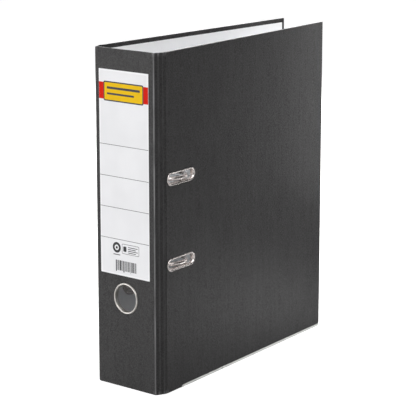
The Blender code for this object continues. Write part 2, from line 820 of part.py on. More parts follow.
def compressor_pieces(looks):
    """The bar that holds the papers down, its two bushes and its latch."""
    lips_x = PLATE_TOP_X + COMPRESSOR_LIFT
    top_x = lips_x + COMPRESSOR_LIP
    half_y, half_z = COMPRESSOR_SIZE[0] / 2, COMPRESSOR_SIZE[1] / 2
    outline = rounded_outline(
        (POST_Y - half_y, MIDDLE_Z - half_z), (POST_Y + half_y, MIDDLE_Z + half_z), 0.004
    )
    bar = prism("compressor_bar", outline, (lips_x, top_x), looks["nickel"], None, "X")
    inner_y = half_y - COMPRESSOR_SHEET
    inner_z = half_z - COMPRESSOR_SHEET
    hollow = rounded_outline(
        (POST_Y - inner_y, MIDDLE_Z - inner_z), (POST_Y + inner_y, MIDDLE_Z + inner_z), 0.003
    )
    cutter = prism(
        "compressor_hollow",
        hollow,
        (lips_x - 0.002, top_x - COMPRESSOR_SHEET),
        None,
        None,
        "X",
    )
    boolean(bar, cutter, "DIFFERENCE")
    made = [bar]
    bush_hole = POST_RADIUS + PIN_PLAY
    neck = 0.0042
    holes = []
    for label, side in (("upper", 1), ("lower", -1)):
        z = MIDDLE_Z + side * ARCH_SPACING / 2
        holes.append(
            tube(
                "bush_hole",
                (top_x - 0.004, POST_Y, z),
                (top_x + 0.004, POST_Y, z),
                neck + CLEARANCE,
                steps=24,
            )
        )
        low = top_x - COMPRESSOR_SHEET - CLEARANCE
        high = top_x + CLEARANCE
        flange = 0.0056 - bush_hole
        profile = [
            (0, low - 0.0010),
            (flange, low - 0.0010),
            (flange, low),
            (neck - bush_hole, low),
            (neck - bush_hole, high),
            (flange, high),
            (flange, high + 0.0010),
            (0, high + 0.0010),
        ]
        place = Matrix.Translation((0, POST_Y, z)) @ Matrix.Rotation(math.pi / 2, 4, "Y")
        path = circle_path(bush_hole, 24)
        made.append(
            sweep_ring(label + "_compressor_bush", path, profile, looks["plastic"], place)
        )
    boolean(bar, merge_helpers("compressor_bush_holes", holes), "DIFFERENCE")
    foot = top_x + CLEARANCE
    latch_outline = [
        (foot, -0.0120),
        (foot + 0.0060, -0.0140),
        (foot + 0.0064, -0.0132),
        (foot + 0.0010, -0.0112),
        (foot + 0.0010, 0.0120),
        (foot, 0.0120),
    ]
    latch = prism(
        "compressor_latch",
        [(x, MIDDLE_Z + z) for x, z in latch_outline],
        (POST_Y - 0.0050, POST_Y + 0.0050),
        looks["plastic"],
        None,
        "Y",
    )
    made.append(latch)
    return made


def body(name, place, pieces):
    """An empty on the body's joint axis, with the body's pieces under it."""
    empty = bpy.data.objects.new(name, None)
    empty.location = place
    empty.empty_display_size = 0.01
    bpy.context.scene.collection.objects.link(empty)
    bpy.context.view_layer.update()
    for piece in pieces:
        piece.parent = empty
        piece.matrix_parent_inverse = empty.matrix_world.inverted()
    return empty


def make_looks():
    return {
        "cladding": material("cladding", (0.055, 0.055, 0.058), 0.62),
        "lining": material("lining", (0.78, 0.79, 0.80), 0.75),
        "label": material("label", (0.84, 0.84, 0.85), 0.70),
        "nickel": material("nickel", (0.72, 0.71, 0.68), 0.28, 1.0),
        "rail": material("rail", (0.74, 0.75, 0.76), 0.30, 1.0),
        "spring": material("spring", (0.52, 0.52, 0.55), 0.35, 1.0),
        "plastic": material("plastic", (0.04, 0.04, 0.045), 0.40),
    }


def build():
    clear_scene()
    looks = make_looks()
    back_strip = hinge_strip("back_hinge_strip", 1, BACK_TURN, BACK_STRIP_FRAME, looks["cladding"])
    front_strip = hinge_strip(
        "front_hinge_strip", -1, FRONT_TURN, FRONT_STRIP_FRAME, looks["cladding"]
    )
    pin, roller_pin = lever_pins(looks)
    fixed = back_cover_pieces(looks) + [base_plate(looks), pin, lever_spring(looks)]
    fixed += rivets(looks) + posts(looks)
    roller_place = (LEVER_PIN_X + ROLLER_H, LEVER_Y, LEVER_PIN_Z - ROLLER_S)
    body("back_cover", (0, 0, 0), fixed)
    body("back_strip", (-HALF_CASE, COVER_Y, 0), [back_strip])
    body("spine", (-HALF_SPINE, SPINE_Y, 0), spine_pieces(looks))
    body("front_strip", (HALF_SPINE, SPINE_Y, 0), [front_strip])
    body("front_cover", (HALF_CASE, COVER_Y, 0), front_cover_pieces(looks))
    body("arches", (ARCH_X, ARCH_Y, MIDDLE_Z), [arch_wire(looks)])
    body(
        "lever",
        (LEVER_PIN_X, LEVER_Y, LEVER_PIN_Z),
        [lever_arm(looks), lever_grip(looks), roller_pin],
    )
    body("roller", roller_place, [lever_roller(looks)])
    body("compressor", (PLATE_TOP_X, POST_Y, MIDDLE_Z), compressor_pieces(looks))


build()
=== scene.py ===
"""Looks of the lever arch file: clad boards, printed label, plated rims and rails, and the mechanism.

Metres, in the frame of the CAD model: the spine faces -Y, the front cover is on +X, +Z is up.
"""

import json
import math

import bmesh
import bpy
from mathutils import Matrix, Vector, noise


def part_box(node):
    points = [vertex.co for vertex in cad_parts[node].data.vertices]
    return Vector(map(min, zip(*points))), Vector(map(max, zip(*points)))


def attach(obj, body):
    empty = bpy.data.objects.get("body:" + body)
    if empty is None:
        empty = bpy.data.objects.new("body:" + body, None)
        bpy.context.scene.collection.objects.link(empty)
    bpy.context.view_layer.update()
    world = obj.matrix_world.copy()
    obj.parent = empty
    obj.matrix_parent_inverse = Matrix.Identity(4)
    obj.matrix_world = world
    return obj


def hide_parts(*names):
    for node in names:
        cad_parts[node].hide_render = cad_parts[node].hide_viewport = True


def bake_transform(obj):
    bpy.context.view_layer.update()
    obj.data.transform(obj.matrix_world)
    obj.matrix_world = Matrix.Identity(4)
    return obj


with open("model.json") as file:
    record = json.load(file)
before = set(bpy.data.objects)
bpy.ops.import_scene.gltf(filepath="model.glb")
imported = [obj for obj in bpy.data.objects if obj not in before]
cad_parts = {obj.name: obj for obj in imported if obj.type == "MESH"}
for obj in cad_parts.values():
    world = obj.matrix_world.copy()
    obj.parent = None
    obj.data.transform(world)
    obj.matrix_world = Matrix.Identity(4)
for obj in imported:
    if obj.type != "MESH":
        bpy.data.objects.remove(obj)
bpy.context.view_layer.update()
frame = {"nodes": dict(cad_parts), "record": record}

# Dimensions of the CAD model that the detailed pieces are built on
CASE_HEIGHT = 0.318
STANDING_GAP = 0.0008  # the paper on the boards ends this far above the floor
HALF_SPINE = 0.0355
SPINE_Y = -0.1419
STRIP_WIDTH = 0.0112
STRIP_TURN = math.radians(66.4)
COVER_LENGTH = 0.27464
FRONT_LEAN = math.radians(5.8)
BOARD = 0.0022
LINING = 0.00025
CLEARANCE = 0.0003
SHEET = 0.0004  # thickness of the eyelets' and rails' metal
MIDDLE_Z = 0.1601
ARCH_SPACING = 0.080
HALF_CASE = HALF_SPINE + STRIP_WIDTH * math.cos(STRIP_TURN)
COVER_Y = SPINE_Y + STRIP_WIDTH * math.sin(STRIP_TURN)
SLOT_FROM_CREASE = 0.0239
SLOT_CLEAR = (0.0395, 0.0080)
SLOT_HEIGHT = 0.0123  # over the rim
SLOT_RAISE = 0.0016
ARCH_FROM_CREASE = 0.0256
RING_X = -0.0003
RING_Z = 0.0870
RING_HOLE = 0.0127
RING_RADIUS = 0.0147
RAIL_START = 0.0250
RAIL_FLANGE = 0.0026
RAIL_SHORT = 0.0008  # the rail ends this far before the cover does
WIRE_RADIUS = 0.0020
ARCH_RADIUS = 0.0205
APEX_SUNK = 0.0002


def frame_at(x, y, turn):
    return Matrix.Translation((x, y, 0)) @ Matrix.Rotation(turn, 4, "Z")


def quarter_turn(axis):
    return Matrix.Rotation(math.pi / 2, 4, axis)


# Each panel's own frame: Y runs along the panel away from the spine, X across its thickness
FRONT_FRAME = frame_at(HALF_CASE, COVER_Y, FRONT_LEAN)
BACK_FRAME = frame_at(-HALF_CASE, COVER_Y, 0)
# The two slots, arches and posts, above and below the middle
SIDES = (("upper", 1), ("lower", -1))


# ---- materials


def add_node(tree, kind, values=None, **settings):
    """Adds a node; values are sockets to link, or numbers and colours to set, by input."""
    node = tree.nodes.new("ShaderNode" + kind)
    for key, value in settings.items():
        setattr(node, key, value)
    for key, value in (values or {}).items():
        socket = node.inputs[key]
        if isinstance(value, bpy.types.NodeSocket):
            tree.links.new(value, socket)
        else:
            socket.default_value = (*value, 1.0) if socket.type == "RGBA" else value
    return node


class Look:
    """A Principled material and short calls that add procedural nodes to it."""

    def __init__(self, name, roughness, metallic=0.0, specular=0.5):
        self.material = bpy.data.materials.new(name)
        self.material.use_nodes = True
        self.tree = self.material.node_tree
        self.shader = self.tree.nodes["Principled BSDF"]
        self.shader.inputs["Roughness"].default_value = roughness
        self.shader.inputs["Metallic"].default_value = metallic
        self.shader.inputs["Specular IOR Level"].default_value = specular
        self.place = self.add("TexCoord").outputs["Object"]

    def add(self, *node, **settings):
        return add_node(self.tree, *node, **settings)

    def stretched(self, scale):
        return self.add("Mapping", {"Vector": self.place, "Scale": scale}).outputs["Vector"]

    def grain(self, scale, detail=3.0, roughness=0.55, vector=None):
        values = {"Scale": scale, "Detail": detail, "Roughness": roughness}
        return self.add("TexNoise", {"Vector": vector or self.place, **values}).outputs["Fac"]

    def cells(self, scale):
        values = {"Vector": self.place, "Scale": scale, "Smoothness": 0.6}
        return self.add("TexVoronoi", values, feature="SMOOTH_F1").outputs["Distance"]

    def fit(self, value, low, high, to_low=0.0, to_high=1.0):
        values = {0: value, 1: low, 2: high, 3: to_low, 4: to_high}
        return self.add("MapRange", values, clamp=True).outputs[0]

    def math(self, operation, *values):
        return self.add("Math", dict(enumerate(values)), operation=operation).outputs[0]

    def mix(self, factor, first, second):
        return self.add("Mix", {0: factor, 6: first, 7: second}, data_type="RGBA").outputs[2]

    def attribute(self, name):
        return self.add("Attribute", attribute_name=name).outputs["Fac"]

    def color(self, socket):
        self.tree.links.new(socket, self.shader.inputs["Base Color"])

    def roughness(self, socket):
        self.tree.links.new(socket, self.shader.inputs["Roughness"])

    def bump(self, height, distance, strength=1.0):
        made = self.add("Bump", {"Height": height, "Distance": distance, "Strength": strength})
        self.tree.links.new(made.outputs["Normal"], self.shader.inputs["Normal"])


def clad_paper():
    """Black covering paper with a fine embossed stipple, faint streaks and creases painted lighter:
    partly real scuffing, partly a painted highlight along the creases and their ridges.
    """
    deep, faded = (0.0098, 0.0094, 0.0096), (0.0262, 0.0251, 0.0257)
    # The last colour is the lighter grey painted on the creases, for real scuffing and as a painted
    # highlight.
    raised, clouded, worn_and_highlit = (0.0335, 0.0321, 0.0328), (0.0120, 0.0118, 0.0120), (0.2100, 0.2100, 0.2130)
    look = Look("clad_paper", 0.55, specular=0.32)
    stipple = look.cells(1150.0)
    pebble = look.grain(820.0, 2.0, 0.55)
    streaks = look.grain(260.0, 4.0, 0.6, look.stretched((1.0, 1.0, 0.10)))
    clouds = look.grain(26.0, 3.0, 0.5)
    tone = look.mix(look.fit(streaks, 0.35, 0.68), deep, faded)
    tone = look.mix(look.fit(pebble, 0.36, 0.66), tone, raised)
    tone = look.mix(look.fit(clouds, 0.35, 0.70, 0.0, 0.30), tone, clouded)
    # Painted lighter where the crease skins ask for it: real scuffing plus a painted highlight on the
    # creases and ridges, broken up by the streaks.
    rubbed_and_highlit = look.math("MULTIPLY", look.attribute("wear"), look.fit(streaks, 0.25, 0.60, 0.55, 1.0))
    look.color(look.mix(rubbed_and_highlit, tone, worn_and_highlit))
    look.roughness(look.fit(pebble, 0.35, 0.65, 0.62, 0.50))
    look.bump(look.math("MULTIPLY_ADD", stipple, 0.8, pebble), 0.00015, 0.9)
    return look.material


def lining_paper():
    """Smooth pale grey lining sheet with a faint fibre."""
    look = Look("lining_paper", 0.72, specular=0.25)
    fibre = look.grain(900.0, 3.0, 0.6, look.stretched((1.0, 1.0, 0.35)))
    clouds = look.grain(18.0, 3.0, 0.5)
    tone = look.mix(look.fit(clouds, 0.35, 0.65), (0.855, 0.858, 0.870), (0.895, 0.898, 0.908))
    look.color(look.mix(look.fit(fibre, 0.40, 0.70, 0.0, 0.35), tone, (0.825, 0.829, 0.841)))
    look.bump(fibre, 0.00003, 0.5)
    return look.material


def label_paper(name, color, darker, roughness=0.62, specular=0.3):
    """Coated label stock or ink on it, with a slight mottle."""
    look = Look(name, roughness, specular=specular)
    fibre = look.grain(1300.0, 2.0, 0.6)
    clouds = look.grain(40.0, 2.0, 0.5)
    tone = look.mix(look.fit(clouds, 0.35, 0.65), color, darker)
    look.color(look.mix(look.fit(fibre, 0.45, 0.75, 0.0, 0.5), tone, darker))
    look.bump(fibre, 0.00002, 0.4)
    return look.material


def plated(name, color, shaded, roughness, scratch=(1.0, 1.0, 0.08), metallic=1.0, ripple=0.00006):
    """Bright nickel or zinc plate: faint rubbing marks, dull patches and a soft ripple."""
    look = Look(name, roughness, metallic=metallic)
    rubs = look.grain(900.0, 4.0, 0.6, look.stretched(scratch))
    patches = look.grain(120.0, 3.0, 0.6)
    look.color(look.mix(look.fit(patches, 0.35, 0.70), color, shaded))
    duller = look.fit(patches, 0.35, 0.75, roughness * 0.7, roughness * 1.3)
    look.roughness(look.math("MULTIPLY_ADD", look.fit(rubs, 0.35, 0.75, 0.0, 0.10), 1.0, duller))
    look.bump(look.math("MULTIPLY_ADD", rubs, 0.15, look.grain(240.0, 1.0, 0.4)), ripple, 0.5)
    return look.material


def moulded_plastic():
    """Black moulded plastic with a fine spark-eroded texture and slight handling shine."""
    look = Look("moulded_plastic", 0.42, specular=0.45)
    texture = look.grain(2600.0, 2.0, 0.6)
    handling = look.grain(90.0, 3.0, 0.5)
    look.color(look.mix(look.fit(handling, 0.35, 0.70), (0.018, 0.018, 0.020), (0.030, 0.030, 0.033)))
    look.roughness(look.fit(handling, 0.35, 0.70, 0.34, 0.50))
    look.bump(texture, 0.00003, 0.6)
    return look.material


LOOKS = {
    "cladding": clad_paper(),
    "lining": lining_paper(),
    "label": label_paper("label_paper", (0.748, 0.748, 0.764), (0.716, 0.716, 0.732)),
    "nickel": plated("nickel_plate", (0.80, 0.75, 0.725), (0.68, 0.63, 0.61), 0.25, ripple=0.000012),
    "rail": plated("rail_steel", (0.80, 0.81, 0.79), (0.72, 0.73, 0.71), 0.34, (1.0, 0.06, 1.0), 0.55),
    "spring": plated("spring_steel", (0.48, 0.48, 0.50), (0.36, 0.36, 0.38), 0.30),
    "black_plastic": moulded_plastic(),
}
RING_FINISH = plated("satin_nickel", (0.56, 0.54, 0.51), (0.49, 0.47, 0.445), 0.38, ripple=0.00002)
# A darker copy of the nickel plate for the mechanism's base plate, its beads and ears: painted shade for
# the dark inside of the case that the plate reflects.
PLATE_PAINTED_SHADE = plated("plate_steel", (0.50, 0.465, 0.45), (0.43, 0.40, 0.385), 0.27, ripple=0.00002)
INKS = {
    "margin": label_paper("label_margin", (0.815, 0.815, 0.830), (0.790, 0.790, 0.805)),
    "red": label_paper("red_ink", (0.590, 0.014, 0.005), (0.540, 0.012, 0.004), 0.6, 0.06),
    "yellow": label_paper("yellow_ink", (0.760, 0.480, 0.010), (0.690, 0.420, 0.008), 0.6, 0.06),
    "black": label_paper("black_ink", (0.020, 0.020, 0.022), (0.035, 0.035, 0.038), 0.45),
}

slots = {part["node"]: part["material_slot"] for part in frame["record"]["subparts"]}
for node in frame["nodes"].values():
    for holder in node.material_slots:
        holder.material = LOOKS[slots[node.name]]


# ---- mesh helpers


def finish(name, work, look=None, place=None, angle=35):
    """Turns a bmesh into an object of the scene, with edges sharper than the angle left sharp."""
    if place is not None:
        bmesh.ops.transform(work, matrix=place, verts=work.verts)
    bmesh.ops.recalc_face_normals(work, faces=work.faces)
    mesh = bpy.data.meshes.new(name)
    work.to_mesh(mesh)
    work.free()
    mesh.shade_smooth()
    mesh.set_sharp_from_angle(angle=math.radians(angle))
    made = bpy.data.objects.new(name, mesh)
    bpy.context.scene.collection.objects.link(made)
    if look:
        mesh.materials.append(look)
    return made


def onto(made, body, slot, *nodes):
    """The piece rides on the body and stands for the CAD nodes; the slot is not used."""
    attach(made, body)
    if nodes:
        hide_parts(*nodes)


def piece(name, work, body, slot, *nodes, look=None, place=None, angle=35):
    """Finishes a bmesh as a piece of the object; its look is the slot's own unless one is given."""
    onto(finish(name, work, look or LOOKS[slot], place, angle), body, slot, *nodes)


def loft(rings, closed=False, work=None):
    """Skins rings of the same number of points into a bmesh, closed on itself or with two caps."""
    work = bmesh.new() if work is None else work
    laid = [[work.verts.new(point) for point in ring] for ring in rings]
    count = len(laid[0])
    pairs = list(zip(laid, laid[1:]))
    if closed:
        pairs.append((laid[-1], laid[0]))
    for ring, after in pairs:
        for k in range(count):
            m = (k + 1) % count
            work.faces.new((ring[k], after[k], after[m], ring[m]))
    if not closed:
        work.faces.new(laid[0])
        work.faces.new(laid[-1])
    return work


def arc(center, radius, start, end, steps):
    """Points on an arc between two angles in degrees."""
    x, y = center
    angles = [math.radians(start + (end - start) * i / steps) for i in range(steps + 1)]
    return [(x + radius * math.cos(angle), y + radius * math.sin(angle)) for angle in angles]


def circle(radius, steps=32, center=(0, 0)):
    return arc(center, radius, 0, 360, steps)[:-1]


def hump(s, middle, width):
    return math.exp(-(((s - middle) / width) ** 2))


def rounded_outline(low, high, radius, steps=6):
    left, bottom = low[0] + radius, low[1] + radius
    right, top = high[0] - radius, high[1] - radius
    points = []
    for k, center in enumerate(((right, top), (left, top), (left, bottom), (right, bottom))):
        points += arc(center, radius, 90 * k, 90 * k + 90, steps)
    return points


def stadium(length, height, steps=24, extra=16):
    """Outline of an oblong, with extra points along its straight sides."""
    radius = height / 2
    reach = length / 2 - radius
    right = arc((reach, 0), radius, -90, 90, steps)
    left = arc((-reach, 0), radius, 90, 270, steps)
    top = [(reach - 2 * reach * i / extra, radius) for i in range(1, extra)]
    bottom = [(-reach + 2 * reach * i / extra, -radius) for i in range(1, extra)]
    return right + top + left + bottom


def outward(path):
    """(point, outward direction) for each point of a closed path that runs anticlockwise."""
    count = len(path)
    found = []
    for i in range(count):
        before, here, after = Vector(path[i - 1]), Vector(path[i]), Vector(path[(i + 1) % count])
        along = ((here - before).normalized() + (after - here).normalized()).normalized()
        found.append((here, Vector((along.y, -along.x))))
    return found


def slab(outline, levels, swap, flat=0.0002, work=None):
    """Stacks an outline at several levels, each (height, how far it is moved in), between flat ends.

    swap turns (across, up, height) into a point of the scene, and flat is how far in the end faces start.
    """
    walls = outward(outline)
    first, last = levels[0], levels[-1]
    stack = [(first[0], first[1] + flat)] + list(levels) + [(last[0], last[1] + flat)]
    rings = []
    for height, inset in stack:
        rings.append([swap(*(point - out * inset), height) for point, out in walls])
    return loft(rings, work=work)


def soft_levels(low, high, round_low, round_high, steps=3):
    """Levels for slab that round off both rims."""
    levels = []
    for level, radius in ((low, round_low), (high, -round_high)):
        for i in range(steps + 1):
            turn = math.pi / 2 * i / steps
            levels.append((level + radius * (1 - math.sin(turn)), abs(radius) * (1 - math.cos(turn))))
    return levels


# ---- covering paper at the creases


BEND_RADIUS = 0.0015
BEND_STEPS = 10
PANEL_STEPS = 26
PANEL_REACH = 0.0030
SKIN = 0.00050
SKIN_PROUD = 0.00006
SKIN_ROWS = 90


def outer_side(way, other):
    """The direction square to a panel on the side where the other panel isn't."""
    out = Vector((-way.y, way.x))
    return -out if out.dot(other) > 0 else out


def crease_line(corner, panels):
    """(point, outward direction, distance past the corner) across two panels and their bend."""
    (way_back, reach_back), (way_on, reach_on) = panels
    tangent = BEND_RADIUS * math.tan((math.pi - way_back.angle(way_on)) / 2)
    out_back, out_on = outer_side(way_back, way_on), outer_side(way_on, way_back)
    center = corner + way_back * tangent - out_back * BEND_RADIUS
    line = []
    for i in range(PANEL_STEPS):
        s = reach_back - (reach_back - tangent) * i / PANEL_STEPS
        line.append((corner + way_back * s, out_back, -s))
    for i in range(BEND_STEPS + 1):
        share = i / BEND_STEPS
        out = (out_back * (1 - share) + out_on * share).normalized()
        line.append((center + out * BEND_RADIUS, out, tangent * (2 * share - 1)))
    for i in range(1, PANEL_STEPS + 1):
        s = tangent + (reach_on - tangent) * i / PANEL_STEPS
        line.append((corner + way_on * s, out_on, s))
    return line, tangent


def skin_levels():
    """(height, how far the paper rolls in there) up the case, closer together at its two cut edges."""
    edge = ((0.0, 0.00035), (0.0002, 0.00012), (0.0005, 0.0))
    low, high = STANDING_GAP, CASE_HEIGHT
    levels = [(low + up, drop) for up, drop in edge]
    tall = high - low - 2 * edge[-1][0]
    levels += [(low + edge[-1][0] + tall * i / SKIN_ROWS, 0.0) for i in range(1, SKIN_ROWS)]
    return levels + [(high - up, drop) for up, drop in reversed(edge)]


def crease_skin(name, corner, panels, side, relief, wear):
    """The covering paper over one crease: a thin closed sheet laid round the bend between two panels.

    panels are the corner's two sides, each (body, direction from the corner, how far the sheet goes).
    relief gives the sheet's height and the last function how much lighter the paper is painted there, for
    real scuffing and as a painted highlight on the crease and its ridges; both take the distance past the
    corner, counted from the spine to the cover.
    """
    ways = [(way.normalized(), reach) for _, way, reach in panels]
    line, tangent = crease_line(corner, ways)
    last = len(line) - 1
    rings, worn_and_highlit = [], []
    for z, drop in skin_levels():
        ring = []
        for i, (point, out, s) in enumerate(line):
            thinned = 0.00022 * max(0, 2 - min(i, last - i)) / 2
            proud = SKIN_PROUD + relief(s * side) - thinned
            proud += 0.00004 * noise.noise(Vector((s * 500, z * 60, corner.x * 90)))
            place = point + out * (proud - drop)
            ring.append((place.x, place.y, z))
            # The paper is painted lighter along the crease, patchy: real scuffing and a painted highlight
            # where the crease catches the light; near the cut edges it is painted lighter for real
            # fraying.
            patch = 0.80 + 0.5 * noise.noise(Vector((s * 300, z * 45, corner.x * 70 + 5)))
            frayed = max(0.0, 0.35 + noise.noise(Vector((s * 700, z * 500, corner.x * 70))))
            near_end = max(0.0, 1 - min(CASE_HEIGHT - z, z - STANDING_GAP) / 0.0028)
            worn_and_highlit.append(max(0.0, min(1.0, wear(s * side) * patch + frayed * near_end)))
        for point, out, _ in reversed(line):
            place = point - out * SKIN
            ring.append((place.x, place.y, z))
            worn_and_highlit.append(0.0)
        rings.append(ring)
    work = loft(rings)
    rubbed_and_highlit = work.verts.layers.float.new("wear")
    for vert, weight in zip(work.verts, worn_and_highlit):
        vert[rubbed_and_highlit] = weight
    made = finish(name, work, LOOKS["cladding"], angle=50)
    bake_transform(made)
    return made


def spine_relief(s):
    """Pressed lines beside the spine's crease: a ridge on the crease, a groove, then a low band."""
    ridge = 0.00014 * hump(s, 0.0001, 0.0007)
    groove = 0.00022 * hump(s, 0.0020, 0.0007)
    return ridge - groove + 0.00012 * hump(s, 0.0045, 0.0009)


# How much lighter the paper is painted beside the spine's crease: on the crease partly real scuffing and
# partly a painted highlight, on the low band a painted highlight.
def spine_wear_and_highlight(s):
    return 0.95 * hump(s, -0.0001, 0.00062) + 0.16 * hump(s, 0.0045, 0.0009)


def cover_relief(s):
    """The sunken joint line between the flexible strip and the cover."""
    joint = 0.00055 * hump(s, 0.0001, 0.00045)
    return -joint + 0.00010 * hump(s, -0.0020, 0.0008) - 0.00014 * hump(s, -0.0040, 0.0007)


# A painted highlight on the low ridge before the cover's joint line.
def cover_ridge_highlight(s):
    return 0.12 * hump(s, -0.0022, 0.0008)


def build_creases():
    strip_half = STRIP_WIDTH / 2 + 0.0001
    for side, name, lean in ((1, "front", FRONT_LEAN), (-1, "back", 0.0)):
        strip, cover = name + "_strip", name + "_cover"
        spine_corner = Vector((side * HALF_SPINE, SPINE_Y))
        cover_corner = Vector((side * HALF_CASE, COVER_Y))
        along_strip = cover_corner - spine_corner
        on_spine = ("spine", Vector((-side, 0)), PANEL_REACH)
        on_cover = (cover, Vector((-math.sin(lean), math.cos(lean))), PANEL_REACH)
        after_spine = (strip, along_strip, strip_half)
        before_cover = (strip, -along_strip, strip_half)
        for label, corner, panels, relief, wear in (
            ("_spine_crease", spine_corner, (on_spine, after_spine), spine_relief, spine_wear_and_highlight),
            ("_cover_crease", cover_corner, (before_cover, on_cover), cover_relief, cover_ridge_highlight),
        ):
            crease_skin(name + label, corner, panels[::side], side, relief, wear)


build_creases()


# ---- label


DISC = (0.0200, 0.1645)


def bar(left, top, right, bottom, radius=0.0):
    if radius:
        return rounded_outline((left, top), (right, bottom), radius)
    return [(left, top), (right, top), (right, bottom), (left, bottom)]


def row_of_bars(left, right, top, bottom):
    """Upright bars of made-up widths that encode nothing; every seventh is longer."""
    widths = (3, 1, 2, 1, 4, 2, 1, 3, 1, 2, 2, 1, 3, 1, 1, 2, 4, 1, 2, 1)
    gap, longer = 1.25, 0.0012
    unit = (right - left) / (sum(widths) + len(widths) * gap)
    bars = []
    for k, wide in enumerate(widths):
        bars.append(bar(left, top, left + wide * unit, bottom + (longer if k % 7 == 0 else 0.0)))
        left += (wide + gap) * unit
    return bars


def label_print(width, height):
    """(piece, look, layer, outlines) for everything printed on the label, from its top left corner."""
    margin, edge = 0.0016, 0.0003
    black, paper = INKS["black"], LOOKS["label"]
    rules = [bar(edge, top, width - edge, top + 0.00042) for top in (0.0688, 0.0980, 0.1270, 0.1564)]
    lines = [bar(0.0100, 0.0156, 0.0501, 0.0178, 0.0006), bar(0.0100, 0.0212, 0.0430, 0.0230, 0.0006)]
    box_marks = [bar(0.0282, 0.1622, 0.0320, 0.1672, 0.0009)]
    for k in range(4):
        top = 0.1622 + 0.0017 * k
        box_marks.append(bar(0.0340, top, 0.0458 - 0.0021 * (k % 2), top + 0.0007))
    return (
        ("label_tint", paper, 0, [bar(margin, margin, width - margin, height - margin)]),
        ("label_band", INKS["red"], 1, [bar(0.0002, 0.0120, width - 0.0002, 0.0275)]),
        ("label_rules", black, 1, rules),
        ("label_plate_edge", black, 2, [bar(0.0058, 0.0108, 0.0543, 0.0290, 0.0016)]),
        ("label_plate", INKS["yellow"], 3, [bar(0.0070, 0.0120, 0.0531, 0.0278, 0.0011)]),
        ("label_plate_lines", black, 4, lines),
        ("label_disc", black, 1, [circle(0.0050, 48, DISC), bar(0.0158, 0.1708, 0.0242, 0.1716)]),
        ("label_disc_eye", paper, 2, [circle(0.0026, 32, DISC)]),
        ("label_disc_dot", black, 3, [circle(0.0013, 24, DISC)]),
        ("label_box_edge", black, 1, [bar(0.0265, 0.1600, 0.0475, 0.1694, 0.0012)]),
        ("label_box_field", paper, 2, [bar(0.0269, 0.1604, 0.0471, 0.1690, 0.00096)]),
        ("label_box_marks", black, 3, box_marks),
        ("label_bars", black, 1, row_of_bars(0.0186, 0.0445, 0.1762, 0.1858)),
    )


def build_label():
    """The label sheet and its printing, each ink a thin closed layer on the sheet."""
    low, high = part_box("spine_label")
    width, height, thickness = high.x - low.x, high.z - low.z, high.y - low.y

    def on_label(across, down, lift):
        """A point given from the label's top left corner, lifted off its face."""
        return (low.x + across, low.y - lift, high.z - down)

    outline = rounded_outline((0.0, 0.0), (width, height), 0.0005)
    sheet = slab(outline, soft_levels(-thickness, 0.0, 0.00003, 0.00008), on_label)
    piece("label_sheet", sheet, "spine", "label", "spine_label", look=INKS["margin"], angle=50)
    thin = 0.00002
    for name, ink, layer, outlines in label_print(width, height):
        lift = 0.00004 + 0.00003 * layer
        work = bmesh.new()
        for outline in outlines:
            slab(outline, [(lift - thin, 0.0), (lift, 0.0)], on_label, thin, work)
        piece(name, work, "spine", "label", look=ink)


build_label()


# ---- plated rims


def dished_rim(width):
    """Visible section of a slot's eyelet, from its throat to its outer edge: the sheet rolls over."""
    line = [(0.00, -1.40), (0.05, -0.95), (0.13, -0.45), (0.23, 0.00), (0.34, 0.34), (0.46, 0.58)]
    line += [(0.60, 0.76), (0.74, 0.85), (0.85, 0.80), (0.93, 0.62), (0.98, 0.36), (1.00, 0.12)]
    return [(width * share, height * 0.001) for share, height in line]


def round_rim(width):
    """Visible section of the finger ring: a full round bead over a straight wall."""
    middle, reach, foot, rise = width * 0.52, width * 0.48, 0.0001, 0.00095
    bead = [(middle + x * reach, foot + y * rise) for x, y in arc((0, 0), 1.0, 180, 0, 16)]
    return [(0.0, -0.0009), (width * 0.01, -0.0003)] + bead


def rim_section(visible, width, depth):
    """Closes a visible section with the eyelet's wall through the board and its flange inside."""
    wall, seat = SHEET + CLEARANCE / 2, 0.00006
    hidden = [(width * 0.97, seat), (wall + 0.0001, seat), (wall, -0.0003), (wall, -depth)]
    hidden += [(width * 0.72, -depth), (width * 0.80, -depth - SHEET / 2), (width * 0.72, -depth - SHEET)]
    return visible + hidden + [(0.0, -depth - SHEET)]


def sweep_rim(path, profile, wave=0.0, dent=None):
    """Sweeps the section round a closed path; dent gives how far the rim is pressed down at a place."""
    rings = []
    for point, out in outward(path):
        press = dent(point) if dent else 0.0
        ripple = wave * noise.noise(Vector((point.x * 420, point.y * 420, profile[1][1] * 1000)))
        ring = []
        for distance, height in profile:
            if height > 0.0001:
                height = height * (1 - press) + ripple
            spot = point + out * distance
            ring.append((spot.x, spot.y, height))
        rings.append(ring)
    return loft(rings, closed=True)


